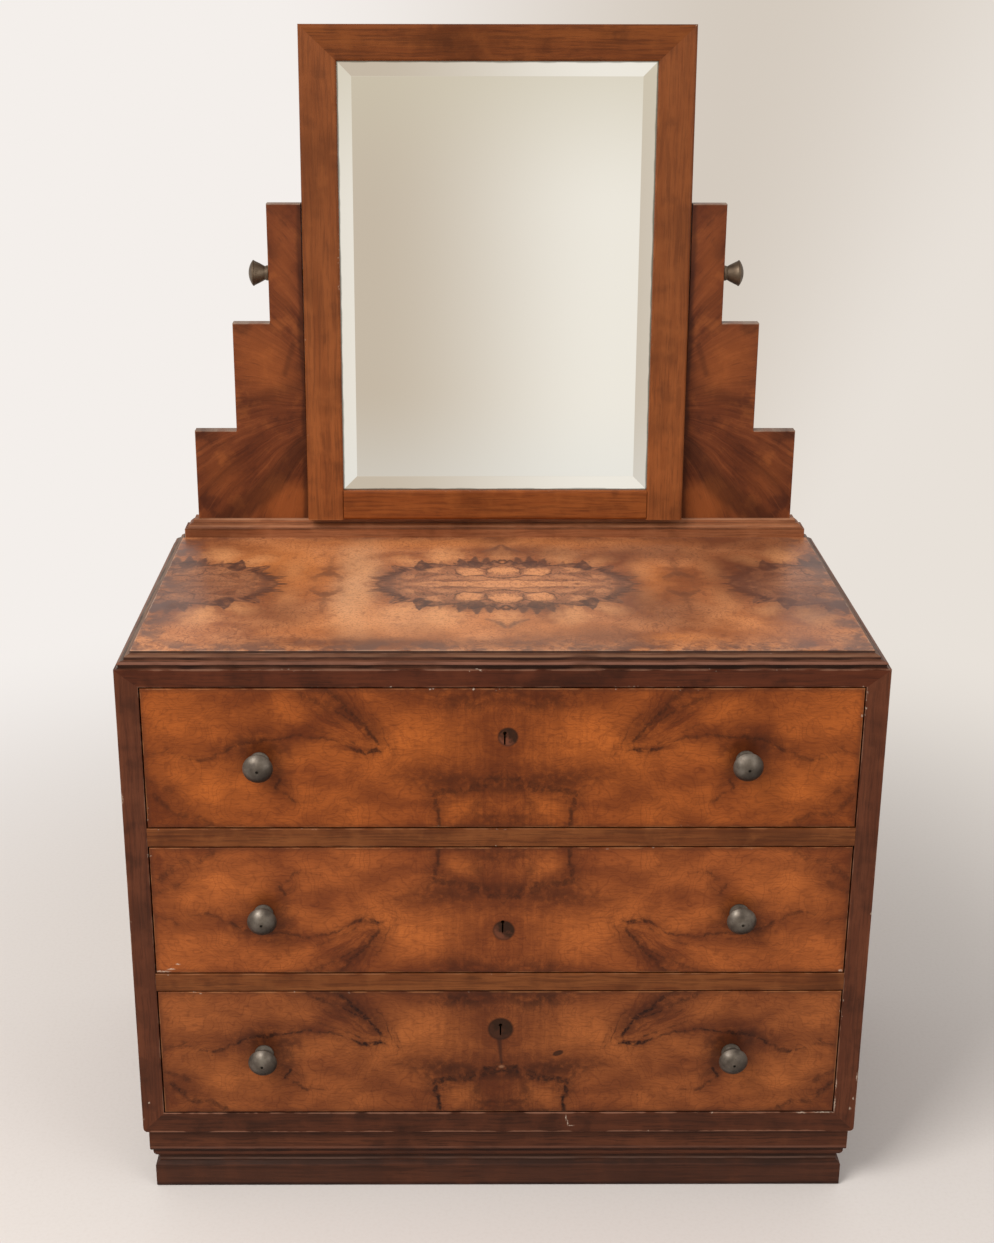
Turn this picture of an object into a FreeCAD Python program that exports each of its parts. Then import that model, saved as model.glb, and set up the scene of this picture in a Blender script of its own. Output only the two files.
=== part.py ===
"""Dressing chest: three flush drawers, a moulded top and plinth, and a tilting mirror
hung between two stepped supports.

Millimetres.  +X is to the right of someone facing the chest, +Y runs from its front to its
back, +Z is up.  The origin is on the floor, under the middle of the whole object.
"""
import FreeCAD, Part
import os
from math import asin, cos, radians, sin

Vector = FreeCAD.Vector
os.makedirs("parts", exist_ok=True)

# ---------------------------------------------------------------- driving dimensions
BODY_WIDTH = 914.0           # chest over the stiles, three feet
BODY_DEPTH = 508.0           # face frame to back, twenty inches
TOP_HEIGHT = 744.0           # floor to the polished top
PLINTH_HEIGHT = 90.0
FRAME_TOP = 726.0            # top of the face frame, under the top and its moulding

STILE_WIDTH = 28.0
FACE_DEPTH = 22.0            # thickness of the face frame
RAIL_DEPTH = 60.0            # divider rails, front to back
TOP_RAIL_HEIGHT = 22.0
BOTTOM_RAIL_HEIGHT = 28.5
DIVIDER_HEIGHT = 24.0
LOWER_DIVIDER = 297.0        # undersides of the two rails between the drawers
UPPER_DIVIDER = 496.5
PANEL_THICKNESS = 20.0
HOUSING = 10.0               # how far the divider rails enter the side panels
BACK_THICKNESS = 5.0
REAR_RAIL_DEPTH = 20.0
UPPER_REAR_RAIL = 60.0       # heights of the rails across the back
LOWER_REAR_RAIL = 40.0
RUNNER_WIDTH = 24.0
RUNNER_HEIGHT = 18.0
GUIDE_HEIGHT = 20.0          # lip of a runner that steers the drawer side
KICKER_HEIGHT = 20.0
EDGE_ROUND = 1.0             # rubbed-down arrises
FOOT_ROUND = 6.0             # lower corners of the carcase, over the plinth

# Drawer openings, lowest first: the heights of their sill and of their head.
OPENINGS = {
    "bottom": (PLINTH_HEIGHT + BOTTOM_RAIL_HEIGHT, LOWER_DIVIDER),
    "middle": (LOWER_DIVIDER + DIVIDER_HEIGHT, UPPER_DIVIDER),
    "top": (UPPER_DIVIDER + DIVIDER_HEIGHT, FRAME_TOP - TOP_RAIL_HEIGHT),
}
FRONT_THICKNESS = 20.0
SIDE_THICKNESS = 10.0
DRAWER_LENGTH = 466.0        # front face to the end of the sides
SIDE_GAP = 1.6               # drawer front to stile
TOP_GAP = 1.6
BOTTOM_GAP = 1.9
LAP = 8.0                    # wood left in front of the dovetails
TAILS = 5
TAIL_SPLAY = 3.0             # how much wider a tail is at its end, above and below
BOARD_THICKNESS = 4.0        # drawer bottoms and the mirror's back board
GROOVE_DEPTH = 5.0
BACK_HOUSING = 3.0           # how far a drawer's back enters its sides

# Middles of the knobs (x, z), each bored by eye, so no two quite match.
KNOB_SPOTS = {
    "top": {"left": (-289.5, 609.5), "right": (291.0, 611.0)},
    "middle": {"left": (-291.5, 406.0), "right": (293.5, 406.0)},
    "bottom": {"left": (-297.5, 207.0), "right": (293.0, 208.0)},
}
KNOB_PROJECTION = 33.0
KNOB_RADIUS = 18.0
THUMB_PROJECTION = 26.8
THUMB_RADIUS = 17.3
KEYHOLE_X = {"top": 3.0, "middle": 2.5, "bottom": 1.0}
KEYHOLE_Z = {"top": 645.5, "middle": 393.5, "bottom": 247.5}
KEYHOLE_LENGTH = 15.0        # from the centre of the eye to the end of the slot
EYE_RADIUS = 2.3
SLOT_WIDTH = 2.0
BOLT_THROW = 8.0

BASE_RAIL_FRONT = 474.0      # mirror base rail, measured back from the face frame
BASE_RAIL_HALF = 436.0
BASE_RAIL_TOP = 768.0
BASE_RAIL_HOUSING = 2.0      # how deep it is let into the top board
SUPPORT_THICKNESS = 18.0
SUPPORT_INNER = 262.3
SUPPORT_STEPS = ((417.7, 893.8), (359.5, 1044.0), (308.4, 1204.0))
BATTEN_WIDTH = 36.0
BATTEN_THICKNESS = 18.0
BATTEN_FOOT = 640.0
BATTEN_TOP = 1188.0

MIRROR_HALF = 261.3
MIRROR_BOTTOM = 771.2
MIRROR_TOP = 1432.4
MIRROR_THICKNESS = 22.0
MIRROR_PROUD = 6.0           # frame face in front of the supports
MIRROR_SIDE_WIDTH = 50.0
MIRROR_HEAD_WIDTH = 46.4
MIRROR_FOOT_WIDTH = 41.8
REBATE = 7.0
GLASS_SETBACK = 8.0
GLASS_THICKNESS = 5.0
GLASS_EDGE = 3.0             # thickness left at the edge by the bevel
BEVEL_WIDTH = 25.0
PIVOT_Z = 1111.0
MIRROR_LEAN = 3.5            # degrees that it leans back where it rests
SHANK_RADIUS = 4.0
SHANK_LENGTH = 58.0
RUNNING_FIT = 0.08
CLEARANCE = 0.3

# ---------------------------------------------------------------- derived places
FRONT = (KNOB_PROJECTION - BODY_DEPTH) / 2.0 - BATTEN_THICKNESS / 2.0
BACK = FRONT + BODY_DEPTH
HALF = BODY_WIDTH / 2.0
OPENING_HALF = HALF - STILE_WIDTH
PANEL_INNER = HALF - PANEL_THICKNESS
DRAWER_HALF = OPENING_HALF - SIDE_GAP
REAR_RAIL_Y = BACK - BACK_THICKNESS - REAR_RAIL_DEPTH
SUPPORT_Y = BACK - SUPPORT_THICKNESS
MIRROR_Y = SUPPORT_Y - MIRROR_PROUD
PIVOT_Y = SUPPORT_Y + SUPPORT_THICKNESS / 2.0
SIDES = {"left": -1.0, "right": 1.0}


# ---------------------------------------------------------------- shape helpers
def block(x0, x1, y0, y1, z0, z1):
    """A rectangular block between two corners, given in any order."""
    xs, ys, zs = sorted((x0, x1)), sorted((y0, y1)), sorted((z0, z1))
    return Part.makeBox(xs[1] - xs[0], ys[1] - ys[0], zs[1] - zs[0], Vector(xs[0], ys[0], zs[0]))


def prism(points, direction):
    """A straight-sided outline of 3-D points, carried along a direction."""
    wire = Part.makePolygon(points + points[:1])
    return Part.Face(wire).extrude(direction)


def board(outline, y0, y1):
    """An (x, z) outline cut from a board that stands between two depths."""
    return prism([Vector(x, y0, z) for x, z in outline], Vector(0, y1 - y0, 0))


def rod(radius, start, direction, length):
    return Part.makeCylinder(radius, length, start, direction)


def soften(shape, radius, wanted):
    """Round the edges that a test on their middle point and direction picks out."""
    edges = []
    for edge in shape.Edges:
        if isinstance(edge.Curve, Part.Line) and wanted(edge.CenterOfMass, edge.Curve.Direction):
            edges.append(edge)
    return shape.makeFillet(radius, edges)


def near(value, target):
    return abs(value - target) < 0.01


def profile_edges(path, place):
    """Edges of a profile: a step of one point is a line, a step of two is an arc."""
    edges = []
    here = path[0]
    for step in path[1:]:
        if len(step) == 1:
            edges.append(Part.LineSegment(place(here), place(step[0])).toShape())
        else:
            edges.append(Part.Arc(place(here), place(step[0]), place(step[1])).toShape())
        here = step[-1]
    if here != path[0]:
        edges.append(Part.LineSegment(place(here), place(path[0])).toShape())
    return edges


def mitred_run(path, depth, side):
    """A moulding along one side of the chest, mitred where it turns a front corner.

    The profile is (inset, height), with the inset measured in from the chest's own faces.
    """
    if side == "front":
        def place(point):
            return Vector(-HALF, FRONT + point[0], point[1])
        length = Vector(BODY_WIDTH, 0, 0)
        plan = [(-HALF, FRONT), (HALF, FRONT), (HALF - depth, FRONT + depth), (depth - HALF, FRONT + depth)]
    else:
        out = SIDES[side]

        def place(point):
            return Vector(out * (HALF - point[0]), FRONT, point[1])
        length = Vector(0, BODY_DEPTH, 0)
        plan = [(out * HALF, FRONT), (out * (HALF - depth), FRONT + depth),
                (out * (HALF - depth), BACK), (out * HALF, BACK)]
    run = Part.Face(Part.Wire(profile_edges(path, place))).extrude(length)
    corner = prism([Vector(x, y, -1.0) for x, y in plan], Vector(0, 0, TOP_HEIGHT))
    return run.common(corner)


def turned(path):
    """A turned piece: (radius, height) profile spun about +Z."""
    face = Part.Face(Part.Wire(profile_edges(path, lambda p: Vector(p[0], 0, p[1]))))
    return face.revolve(Vector(0, 0, 0), Vector(0, 0, 1), 360)


def aimed(shape, position, direction):
    """Move a piece made on +Z so that it stands at a position and points along a direction."""
    turn = FreeCAD.Rotation(Vector(0, 0, 1), direction)
    placed = shape.copy()
    placed.Placement = FreeCAD.Placement(position, turn)
    return placed


def group(solids):
    return Part.makeCompound(solids)


# ---------------------------------------------------------------- chest
def divider_rail(low):
    """A rail between two drawers, housed in the side panels behind the stiles."""
    top = low + DIVIDER_HEIGHT
    front = block(-OPENING_HALF, OPENING_HALF, FRONT, FRONT + FACE_DEPTH, low, top)
    front = soften(front, EDGE_ROUND, lambda c, d: near(c.y, FRONT) and near(abs(d.x), 1))
    reach = PANEL_INNER + HOUSING
    rear = block(-reach, reach, FRONT + FACE_DEPTH, FRONT + RAIL_DEPTH, low, top)
    return bolt_mortises(front.fuse(rear).removeSplitter())


def mitred_rail(inner_z, outer_z):
    """The top or bottom rail of the face frame, mitred into the stiles."""
    outline = [(-OPENING_HALF, inner_z), (OPENING_HALF, inner_z), (HALF, outer_z), (-HALF, outer_z)]
    front = board(outline, FRONT, FRONT + FACE_DEPTH)
    front = soften(front, EDGE_ROUND, lambda c, d: near(c.y, FRONT) and near(c.z, inner_z))
    low, high = sorted((inner_z, outer_z))
    rear = block(-PANEL_INNER, PANEL_INNER, FRONT + FACE_DEPTH, FRONT + RAIL_DEPTH, low, high)
    return round_foot(front.fuse(rear).removeSplitter())


def round_foot(shape):
    """Round the carcase's lower corners, which run from front to back over the plinth."""
    for out in SIDES.values():
        middle = Vector(out * (HALF - FOOT_ROUND), FRONT - 1.0, PLINTH_HEIGHT + FOOT_ROUND)
        corner = block(middle.x, out * HALF, FRONT - 1.0, BACK, PLINTH_HEIGHT, middle.z)
        kept = rod(FOOT_ROUND, middle, Vector(0, 1, 0), BODY_DEPTH + 2.0)
        shape = shape.cut(corner.cut(kept))
    return shape


def front_stile(out):
    """An upright of the face frame, mitred at both ends."""
    outline = [(out * HALF, PLINTH_HEIGHT), (out * HALF, FRAME_TOP),
               (out * OPENING_HALF, FRAME_TOP - TOP_RAIL_HEIGHT),
               (out * OPENING_HALF, PLINTH_HEIGHT + BOTTOM_RAIL_HEIGHT)]
    stile = board(outline, FRONT, FRONT + FACE_DEPTH)
    return round_foot(soften(stile, EDGE_ROUND, lambda c, d: near(c.y, FRONT) and near(abs(d.z), 1)))


def side_panel(out, rails):
    """A side of the chest, rebated for the back and housed for the divider rails."""
    panel = block(out * PANEL_INNER, out * HALF, FRONT + FACE_DEPTH, BACK, PLINTH_HEIGHT, FRAME_TOP)
    rebate = block(out * PANEL_INNER, out * (PANEL_INNER + HOUSING), BACK - BACK_THICKNESS, BACK,
                   PLINTH_HEIGHT, FRAME_TOP)
    panel = panel.cut(rebate)
    for rail in rails:
        panel = panel.cut(rail)
    return round_foot(panel)


def bolt_mortises(shape):
    """Open the slots in the rails that the lock bolts rise into."""
    half = BOLT_WIDTH / 2.0 + 1.0
    for name, (_sill, head) in OPENINGS.items():
        x = KEYHOLE_X[name]
        slot = block(x - half, x + half, BOLT_Y - 1.0, BOLT_Y + BOLT_THICKNESS + 1.0,
                     head - 1.0, head + BOLT_THROW + 2.0)
        shape = shape.cut(slot)
    return shape


def rear_rails():
    """The two rails at the back that the back panel and the battens fix to."""
    upper = block(-PANEL_INNER, PANEL_INNER, REAR_RAIL_Y, BACK - BACK_THICKNESS,
                  FRAME_TOP - UPPER_REAR_RAIL, FRAME_TOP)
    lower = block(-PANEL_INNER, PANEL_INNER, REAR_RAIL_Y, BACK - BACK_THICKNESS,
                  PLINTH_HEIGHT, PLINTH_HEIGHT + LOWER_REAR_RAIL)
    return group([upper, lower])


def runners_and_kickers():
    """An L-shaped runner on each side under each drawer, and a kicker over the top one."""
    strips = []
    y0, y1 = FRONT + RAIL_DEPTH, REAR_RAIL_Y
    for out in SIDES.values():
        panel, inner = out * PANEL_INNER, out * (PANEL_INNER - RUNNER_WIDTH)
        for sill, _head in OPENINGS.values():
            ledge = block(inner, panel, y0, y1, sill - RUNNER_HEIGHT, sill)
            guide = block(out * (DRAWER_HALF + 1.0), panel, y0, y1, sill, sill + GUIDE_HEIGHT)
            strips.append(ledge.fuse(guide).removeSplitter())
        strips.append(block(inner, panel, y0, y1, FRAME_TOP - KICKER_HEIGHT, FRAME_TOP))
    return group(strips)


# Edge moulding of the top: a quirk over the face frame, then two shallow treads.
TOP_INSET = 17.5
TOP_MOULDING = [
    (2.0, FRAME_TOP), [(5.0, 727.2)], [(5.0, 730.2)], [(3.6, 731.0), (3.8, 732.4)],
    [(7.0, 733.8), (11.0, 734.6)], [(11.4, 737.6)], [(12.0, 738.4), (13.0, 738.8)],
    [(TOP_INSET, 740.6)], [(TOP_INSET, FRAME_TOP)],
]

# Plinth: fascia, cove, recess and a skirting board that steps out again.
PLINTH_THICKNESS = 32.0
PLINTH_PROFILE = [
    (6.0, PLINTH_HEIGHT), [(6.0, 61.5)], [(6.6, 59.2), (8.4, 57.6)], [(9.6, 56.8)],
    [(11.0, 49.6), (16.5, 44.6)], [(16.5, 36.0)], [(13.2, 33.6)], [(11.7, 32.4), (11.2, 30.2)],
    [(11.2, 3.0)], [(11.8, 0.9), (13.6, 0.0)], [(PLINTH_THICKNESS, 0.0)],
    [(PLINTH_THICKNESS, PLINTH_HEIGHT)],
]


def plinth_back():
    inner = HALF - PLINTH_THICKNESS
    return block(-inner, inner, BACK - 24.0, BACK - 4.0, 0.0, PLINTH_HEIGHT)


# ---------------------------------------------------------------- drawers
def dovetails(out, low, high):
    """The tails on the front end of a drawer side."""
    inner = out * (DRAWER_HALF - SIDE_THICKNESS)
    y_end, y_base = FRONT + LAP, FRONT + FRONT_THICKNESS
    pitch = (high - low) / TAILS
    wide = pitch * 0.36
    narrow = wide - TAIL_SPLAY
    tails = []
    for index in range(TAILS):
        middle = low + pitch * (index + 0.5)
        corners = [Vector(inner, y_base, middle - narrow), Vector(inner, y_end, middle - wide),
                   Vector(inner, y_end, middle + wide), Vector(inner, y_base, middle + narrow)]
        tails.append(prism(corners, Vector(out * SIDE_THICKNESS, 0, 0)))
    return tails


def keyhole(name, depth_end):
    """The shape cut away for a key: a round eye with a slot hanging from it."""
    x, z = KEYHOLE_X[name], KEYHOLE_Z[name]
    start = FRONT - 1.0
    eye = rod(EYE_RADIUS, Vector(x, start, z), Vector(0, 1, 0), depth_end - start)
    slot = block(x - SLOT_WIDTH / 2.0, x + SLOT_WIDTH / 2.0, start, depth_end, z - KEYHOLE_LENGTH, z)
    return eye.fuse(slot)


LOCK_WIDTH = 60.0
LOCK_THICKNESS = 10.0
LOCK_ABOVE = 30.0            # lock case above and below the eye of the keyhole
LOCK_BELOW = 24.0
KEY_WAY_DEPTH = 7.0
BOLT_WIDTH = 16.0
BOLT_THICKNESS = 5.0
BOLT_RISE = 8.0              # foot of the bolt above the eye of the keyhole
BOLT_Y = FRONT + FRONT_THICKNESS + 2.5


def lock_bolt(name):
    """The flat bolt that rises from the lock into the rail above."""
    x, z = KEYHOLE_X[name], KEYHOLE_Z[name]
    half = BOLT_WIDTH / 2.0
    top = OPENINGS[name][1] - TOP_GAP
    bolt = block(x - half, x + half, BOLT_Y, BOLT_Y + BOLT_THICKNESS, z + BOLT_RISE, top)
    return soften(bolt, 1.0, lambda c, d: near(c.z, top) and near(abs(d.y), 1))


def lock_case(name):
    """The lock case, open at the top where its bolt comes out."""
    x, z = KEYHOLE_X[name], KEYHOLE_Z[name]
    half = LOCK_WIDTH / 2.0
    back_face = FRONT + FRONT_THICKNESS
    case = block(x - half, x + half, back_face, back_face + LOCK_THICKNESS, z - LOCK_BELOW, z + LOCK_ABOVE)
    case = soften(case, 1.5, lambda c, d: near(c.y, back_face + LOCK_THICKNESS))
    way = BOLT_WIDTH / 2.0 + CLEARANCE
    channel = block(x - way, x + way, BOLT_Y - CLEARANCE, BOLT_Y + BOLT_THICKNESS + CLEARANCE,
                    z + BOLT_RISE - CLEARANCE, z + LOCK_ABOVE + 1.0)
    return case.cut(channel).cut(keyhole(name, back_face + KEY_WAY_DEPTH))


def pull_knob(flange, neck, head, length, dome, flare, shank_radius, shank_length):
    """A turned knob: a flange, a waisted neck that flares to a broad head, and a domed face.

    The flare is the share of the way from neck to head that its middle has opened out.
    """
    rim = length - dome
    sphere = (head * head + dome * dome) / (2.0 * dome)
    half_way = 0.5 * asin(head / sphere)
    path = [
        (0.0, -shank_length), [(shank_radius, -shank_length)], [(shank_radius, 0.0)], [(flange, 0.0)],
        [(flange, 1.8)], [(neck + 0.8, 2.8)], [(neck, 4.6)],
        [(neck + flare * (head - neck), 0.55 * rim), (head - 1.0, rim - 2.2)],
        [(head, rim - 1.2)], [(head, rim)],
        [(sphere * sin(half_way), length - sphere + sphere * cos(half_way)), (0.0, length)],
    ]
    return turned(path)


def drawer_knob():
    """A drawer's knob, with its screw spigot and the small hole in the middle of its face."""
    knob = pull_knob(flange=12.0, neck=8.5, head=KNOB_RADIUS, length=KNOB_PROJECTION, dome=10.5,
                     flare=0.16, shank_radius=3.5, shank_length=14.0)
    return knob.cut(rod(1.8, Vector(0, 0, KNOB_PROJECTION - 3.0), Vector(0, 0, 1), 4.0))


def drawer(name):
    """Every piece of one drawer, by the name of its node."""
    sill, head = OPENINGS[name]
    side_low, side_high = sill + CLEARANCE, head - 6.0
    groove = sill + 7.0
    front = block(-DRAWER_HALF, DRAWER_HALF, FRONT, FRONT + FRONT_THICKNESS,
                  sill + BOTTOM_GAP, head - TOP_GAP)
    front = soften(front, EDGE_ROUND, lambda c, d: near(c.y, FRONT))
    front = front.cut(keyhole(name, FRONT + FRONT_THICKNESS + 1.0))
    side_inner = DRAWER_HALF - SIDE_THICKNESS
    back_y = FRONT + DRAWER_LENGTH - 16.0
    back_half = side_inner + BACK_HOUSING
    back = block(-back_half, back_half, back_y, back_y + SIDE_THICKNESS,
                 groove + BOARD_THICKNESS, head - 14.0)
    bottom_half = side_inner + GROOVE_DEPTH
    bottom = block(-bottom_half, bottom_half, FRONT + FRONT_THICKNESS - GROOVE_DEPTH,
                   FRONT + DRAWER_LENGTH - 2.0, groove, groove + BOARD_THICKNESS)
    pieces = {}
    for side, out in SIDES.items():
        cheek = block(out * side_inner, out * DRAWER_HALF, FRONT + FRONT_THICKNESS, FRONT + DRAWER_LENGTH,
                      side_low, side_high)
        cheek = cheek.multiFuse(dovetails(out, groove + 10.0, side_high)).removeSplitter()
        front = front.cut(cheek)
        pieces[f"{name}_drawer_side_{side}"] = cheek.cut(back).cut(bottom)
        x, z = KNOB_SPOTS[name][side]
        knob = aimed(drawer_knob(), Vector(x, FRONT, z), Vector(0, -1, 0))
        pieces[f"{name}_drawer_knob_{side}"] = knob
        front = front.cut(knob)
    pieces[f"{name}_drawer_front"] = front.cut(bottom)
    pieces[f"{name}_drawer_back"] = back
    pieces[f"{name}_drawer_bottom"] = bottom
    pieces[f"{name}_drawer_lock"] = lock_case(name)
    pieces[f"{name}_drawer_lock_bolt"] = lock_bolt(name)
    return pieces


# ---------------------------------------------------------------- mirror stand
# Tiers of the mirror's base rail: inset and height at the foot of each, then at its head.
BASE_RAIL_TIERS = (
    (0.0, TOP_HEIGHT - BASE_RAIL_HOUSING, 0.0, 756.5), (3.0, 756.5, 4.5, 759.5), (4.5, 759.5, 9.0, 763.0),
    (11.0, 763.0, 12.5, BASE_RAIL_TOP),
)


def base_rail():
    """The moulded rail on the top that carries the supports; its steps return at both ends."""
    rail = None
    for inset0, z0, inset1, z1 in BASE_RAIL_TIERS:
        outlines = []
        for inset, z in ((inset0, z0), (inset1, z1)):
            half = BASE_RAIL_HALF - inset
            y = FRONT + BASE_RAIL_FRONT + inset
            corners = ((-half, y), (half, y), (half, BACK), (-half, BACK))
            outlines.append([Vector(x, corner_y, z) for x, corner_y in corners])
        tier = frustum(*outlines)
        rail = tier if rail is None else rail.fuse(tier)
    return rail.removeSplitter()


def frustum(lower, upper):
    """A solid between two four-cornered outlines with parallel sides."""
    faces = [Part.Face(Part.makePolygon(outline + outline[:1])) for outline in (lower, upper)]
    for index in range(4):
        following = (index + 1) % 4
        corners = [lower[index], lower[following], upper[following], upper[index]]
        faces.append(Part.Face(Part.makePolygon(corners + corners[:1])))
    solid = Part.Solid(Part.Shell(faces))
    if solid.Volume < 0:
        solid.reverse()
    return solid


def support(out):
    """A stepped upright, bored on edge for the mirror's thumb screw."""
    outline = [(out * SUPPORT_INNER, BASE_RAIL_TOP), (out * SUPPORT_STEPS[0][0], BASE_RAIL_TOP)]
    for index, (reach, top) in enumerate(SUPPORT_STEPS):
        outline.append((out * reach, top))
        if index + 1 < len(SUPPORT_STEPS):
            outline.append((out * SUPPORT_STEPS[index + 1][0], top))
    outline.append((out * SUPPORT_INNER, SUPPORT_STEPS[-1][1]))
    upright = board(outline, SUPPORT_Y, BACK)

    def front_arris(centre, direction):
        return near(centre.y, SUPPORT_Y) and centre.z > BASE_RAIL_TOP + 1.0
    upright = soften(upright, EDGE_ROUND, front_arris)
    bore = rod(SHANK_RADIUS + CLEARANCE, Vector(out * (SUPPORT_INNER - 1.0), PIVOT_Y, PIVOT_Z),
               Vector(out, 0, 0), SUPPORT_STEPS[-1][0] - SUPPORT_INNER + 2.0)
    return upright.cut(bore)


BATTEN_X = SUPPORT_INNER + 8.0
SCREW_HEIGHTS = (682.0, 712.0, 756.0, 880.0, 1050.0)
SCREW_LENGTH = 32.0
SCREW_RADIUS = 2.0
HEAD_RADIUS = 4.2


def batten_screws(slotted):
    """The countersunk screws through both battens; without slots they are the screws' holes."""
    screw = turned([(0.0, 0.0), [(HEAD_RADIUS, 0.0)], [(SCREW_RADIUS, 2.4)],
                    [(SCREW_RADIUS, SCREW_LENGTH - 5.0)], [(0.3, SCREW_LENGTH)], [(0.0, SCREW_LENGTH)]])
    if slotted:
        screw = screw.cut(block(-HEAD_RADIUS, HEAD_RADIUS, -0.5, 0.5, -1.0, 1.0))
    screws = []
    for out in SIDES.values():
        for height in SCREW_HEIGHTS:
            spot = Vector(out * (BATTEN_X + BATTEN_WIDTH / 2.0), BACK + BATTEN_THICKNESS, height)
            screws.append(aimed(screw, spot, Vector(0, -1, 0)))
    return screws


def support_battens():
    battens = []
    for out in SIDES.values():
        batten = block(out * BATTEN_X, out * (BATTEN_X + BATTEN_WIDTH), BACK, BACK + BATTEN_THICKNESS,
                       BATTEN_FOOT, BATTEN_TOP)
        batten = soften(batten, 2.0, lambda c, d: near(c.y, BACK + BATTEN_THICKNESS))
        battens.append(batten)
    return group(battens)


# ---------------------------------------------------------------- mirror
def frame_section(width, place):
    """Section of a mirror frame member: (across from the outer edge, back from the face)."""
    outer, inner = 5.0, 3.5
    bulge = 1.0 - cos(radians(45.0))
    path = [
        (0.0, MIRROR_THICKNESS), [(0.0, outer)], [(outer * bulge, outer * bulge), (outer, 0.0)],
        [(width - inner, 0.0)], [(width - inner * bulge, inner * bulge), (width, inner)],
        [(width, MIRROR_THICKNESS)],
    ]
    return Part.Face(Part.Wire(profile_edges(path, place)))


def mirror_frame():
    """Four frame members: mitred at the head, stiles running through at the foot."""
    glass_half = MIRROR_HALF - MIRROR_SIDE_WIDTH
    head_z = MIRROR_TOP - MIRROR_HEAD_WIDTH
    foot_z = MIRROR_BOTTOM + MIRROR_FOOT_WIDTH
    corners = [(-MIRROR_HALF, MIRROR_TOP), (MIRROR_HALF, MIRROR_TOP), (glass_half, head_z),
               (-glass_half, head_z)]
    mitre = board(corners, MIRROR_Y - 1.0, MIRROR_Y + MIRROR_THICKNESS + 1.0)
    rebate = block(-glass_half - REBATE, glass_half + REBATE, MIRROR_Y + GLASS_SETBACK,
                   MIRROR_Y + MIRROR_THICKNESS, foot_z - REBATE, head_z + REBATE)

    def on_head(p):
        return Vector(-MIRROR_HALF, MIRROR_Y + p[1], MIRROR_TOP - p[0])

    def on_foot(p):
        return Vector(-glass_half, MIRROR_Y + p[1], MIRROR_BOTTOM + p[0])
    head = frame_section(MIRROR_HEAD_WIDTH, on_head)
    head = head.extrude(Vector(2.0 * MIRROR_HALF, 0, 0)).common(mitre).cut(rebate)
    foot = frame_section(MIRROR_FOOT_WIDTH, on_foot)
    foot = foot.extrude(Vector(2.0 * glass_half, 0, 0))
    tenon_y = MIRROR_Y + GLASS_SETBACK
    tenon = block(-glass_half - 28.0, glass_half + 28.0, tenon_y, tenon_y + 8.0,
                  MIRROR_BOTTOM + 8.0, foot_z - REBATE - 4.0)
    foot = foot.cut(rebate).fuse(tenon)
    pieces = {"mirror_top_rail": head, "mirror_bottom_rail": foot.removeSplitter()}
    for side, out in SIDES.items():
        stile = frame_section(MIRROR_SIDE_WIDTH,
                              lambda p: Vector(out * (MIRROR_HALF - p[0]), MIRROR_Y + p[1], MIRROR_BOTTOM))
        stile = stile.extrude(Vector(0, 0, MIRROR_TOP - MIRROR_BOTTOM)).cut(mitre).cut(rebate).cut(tenon)
        pivot = Vector(out * (MIRROR_HALF - 20.0), PIVOT_Y, PIVOT_Z)
        stile = stile.cut(plate_blank(out)).cut(rod(SHANK_RADIUS + 0.8, pivot, Vector(out, 0, 0), 20.0))
        pieces[f"mirror_stile_{side}"] = stile
    return pieces


def mirror_glass():
    """Plate glass with a wide bevel all round its face."""
    half = MIRROR_HALF - MIRROR_SIDE_WIDTH + REBATE - 1.0
    low = MIRROR_BOTTOM + MIRROR_FOOT_WIDTH - REBATE + 1.0
    high = MIRROR_TOP - MIRROR_HEAD_WIDTH + REBATE - 1.0
    face = MIRROR_Y + GLASS_SETBACK
    shoulder = face + GLASS_THICKNESS - GLASS_EDGE

    def outline(inset, y):
        return [Vector(inset - half, y, low + inset), Vector(half - inset, y, low + inset),
                Vector(half - inset, y, high - inset), Vector(inset - half, y, high - inset)]
    body = block(-half, half, shoulder, face + GLASS_THICKNESS, low, high)
    return body.fuse(frustum(outline(0.0, shoulder), outline(BEVEL_WIDTH, face))).removeSplitter()


def mirror_back_board():
    half = MIRROR_HALF - MIRROR_SIDE_WIDTH + REBATE - 0.5
    low = MIRROR_BOTTOM + MIRROR_FOOT_WIDTH - REBATE + 0.5
    high = MIRROR_TOP - MIRROR_HEAD_WIDTH + REBATE - 0.5
    y = MIRROR_Y + GLASS_SETBACK + GLASS_THICKNESS
    return block(-half, half, y, y + BOARD_THICKNESS, low, high)


PLATE_THICKNESS = 2.5


def plate_blank(out):
    """The pocket of one pivot plate, let in flush with the edge of a mirror stile."""
    return block(out * (MIRROR_HALF - PLATE_THICKNESS), out * MIRROR_HALF, PIVOT_Y - 6.0, PIVOT_Y + 6.0,
                 PIVOT_Z - 25.0, PIVOT_Z + 25.0)


def pivot_plates():
    """The tapped plates that the thumb screws enter."""
    plates = []
    for out in SIDES.values():
        start = Vector(out * (MIRROR_HALF - PLATE_THICKNESS - 1.0), PIVOT_Y, PIVOT_Z)
        hole = rod(SHANK_RADIUS + RUNNING_FIT, start, Vector(out, 0, 0), PLATE_THICKNESS + 2.0)
        plates.append(plate_blank(out).cut(hole))
    return group(plates)


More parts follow.
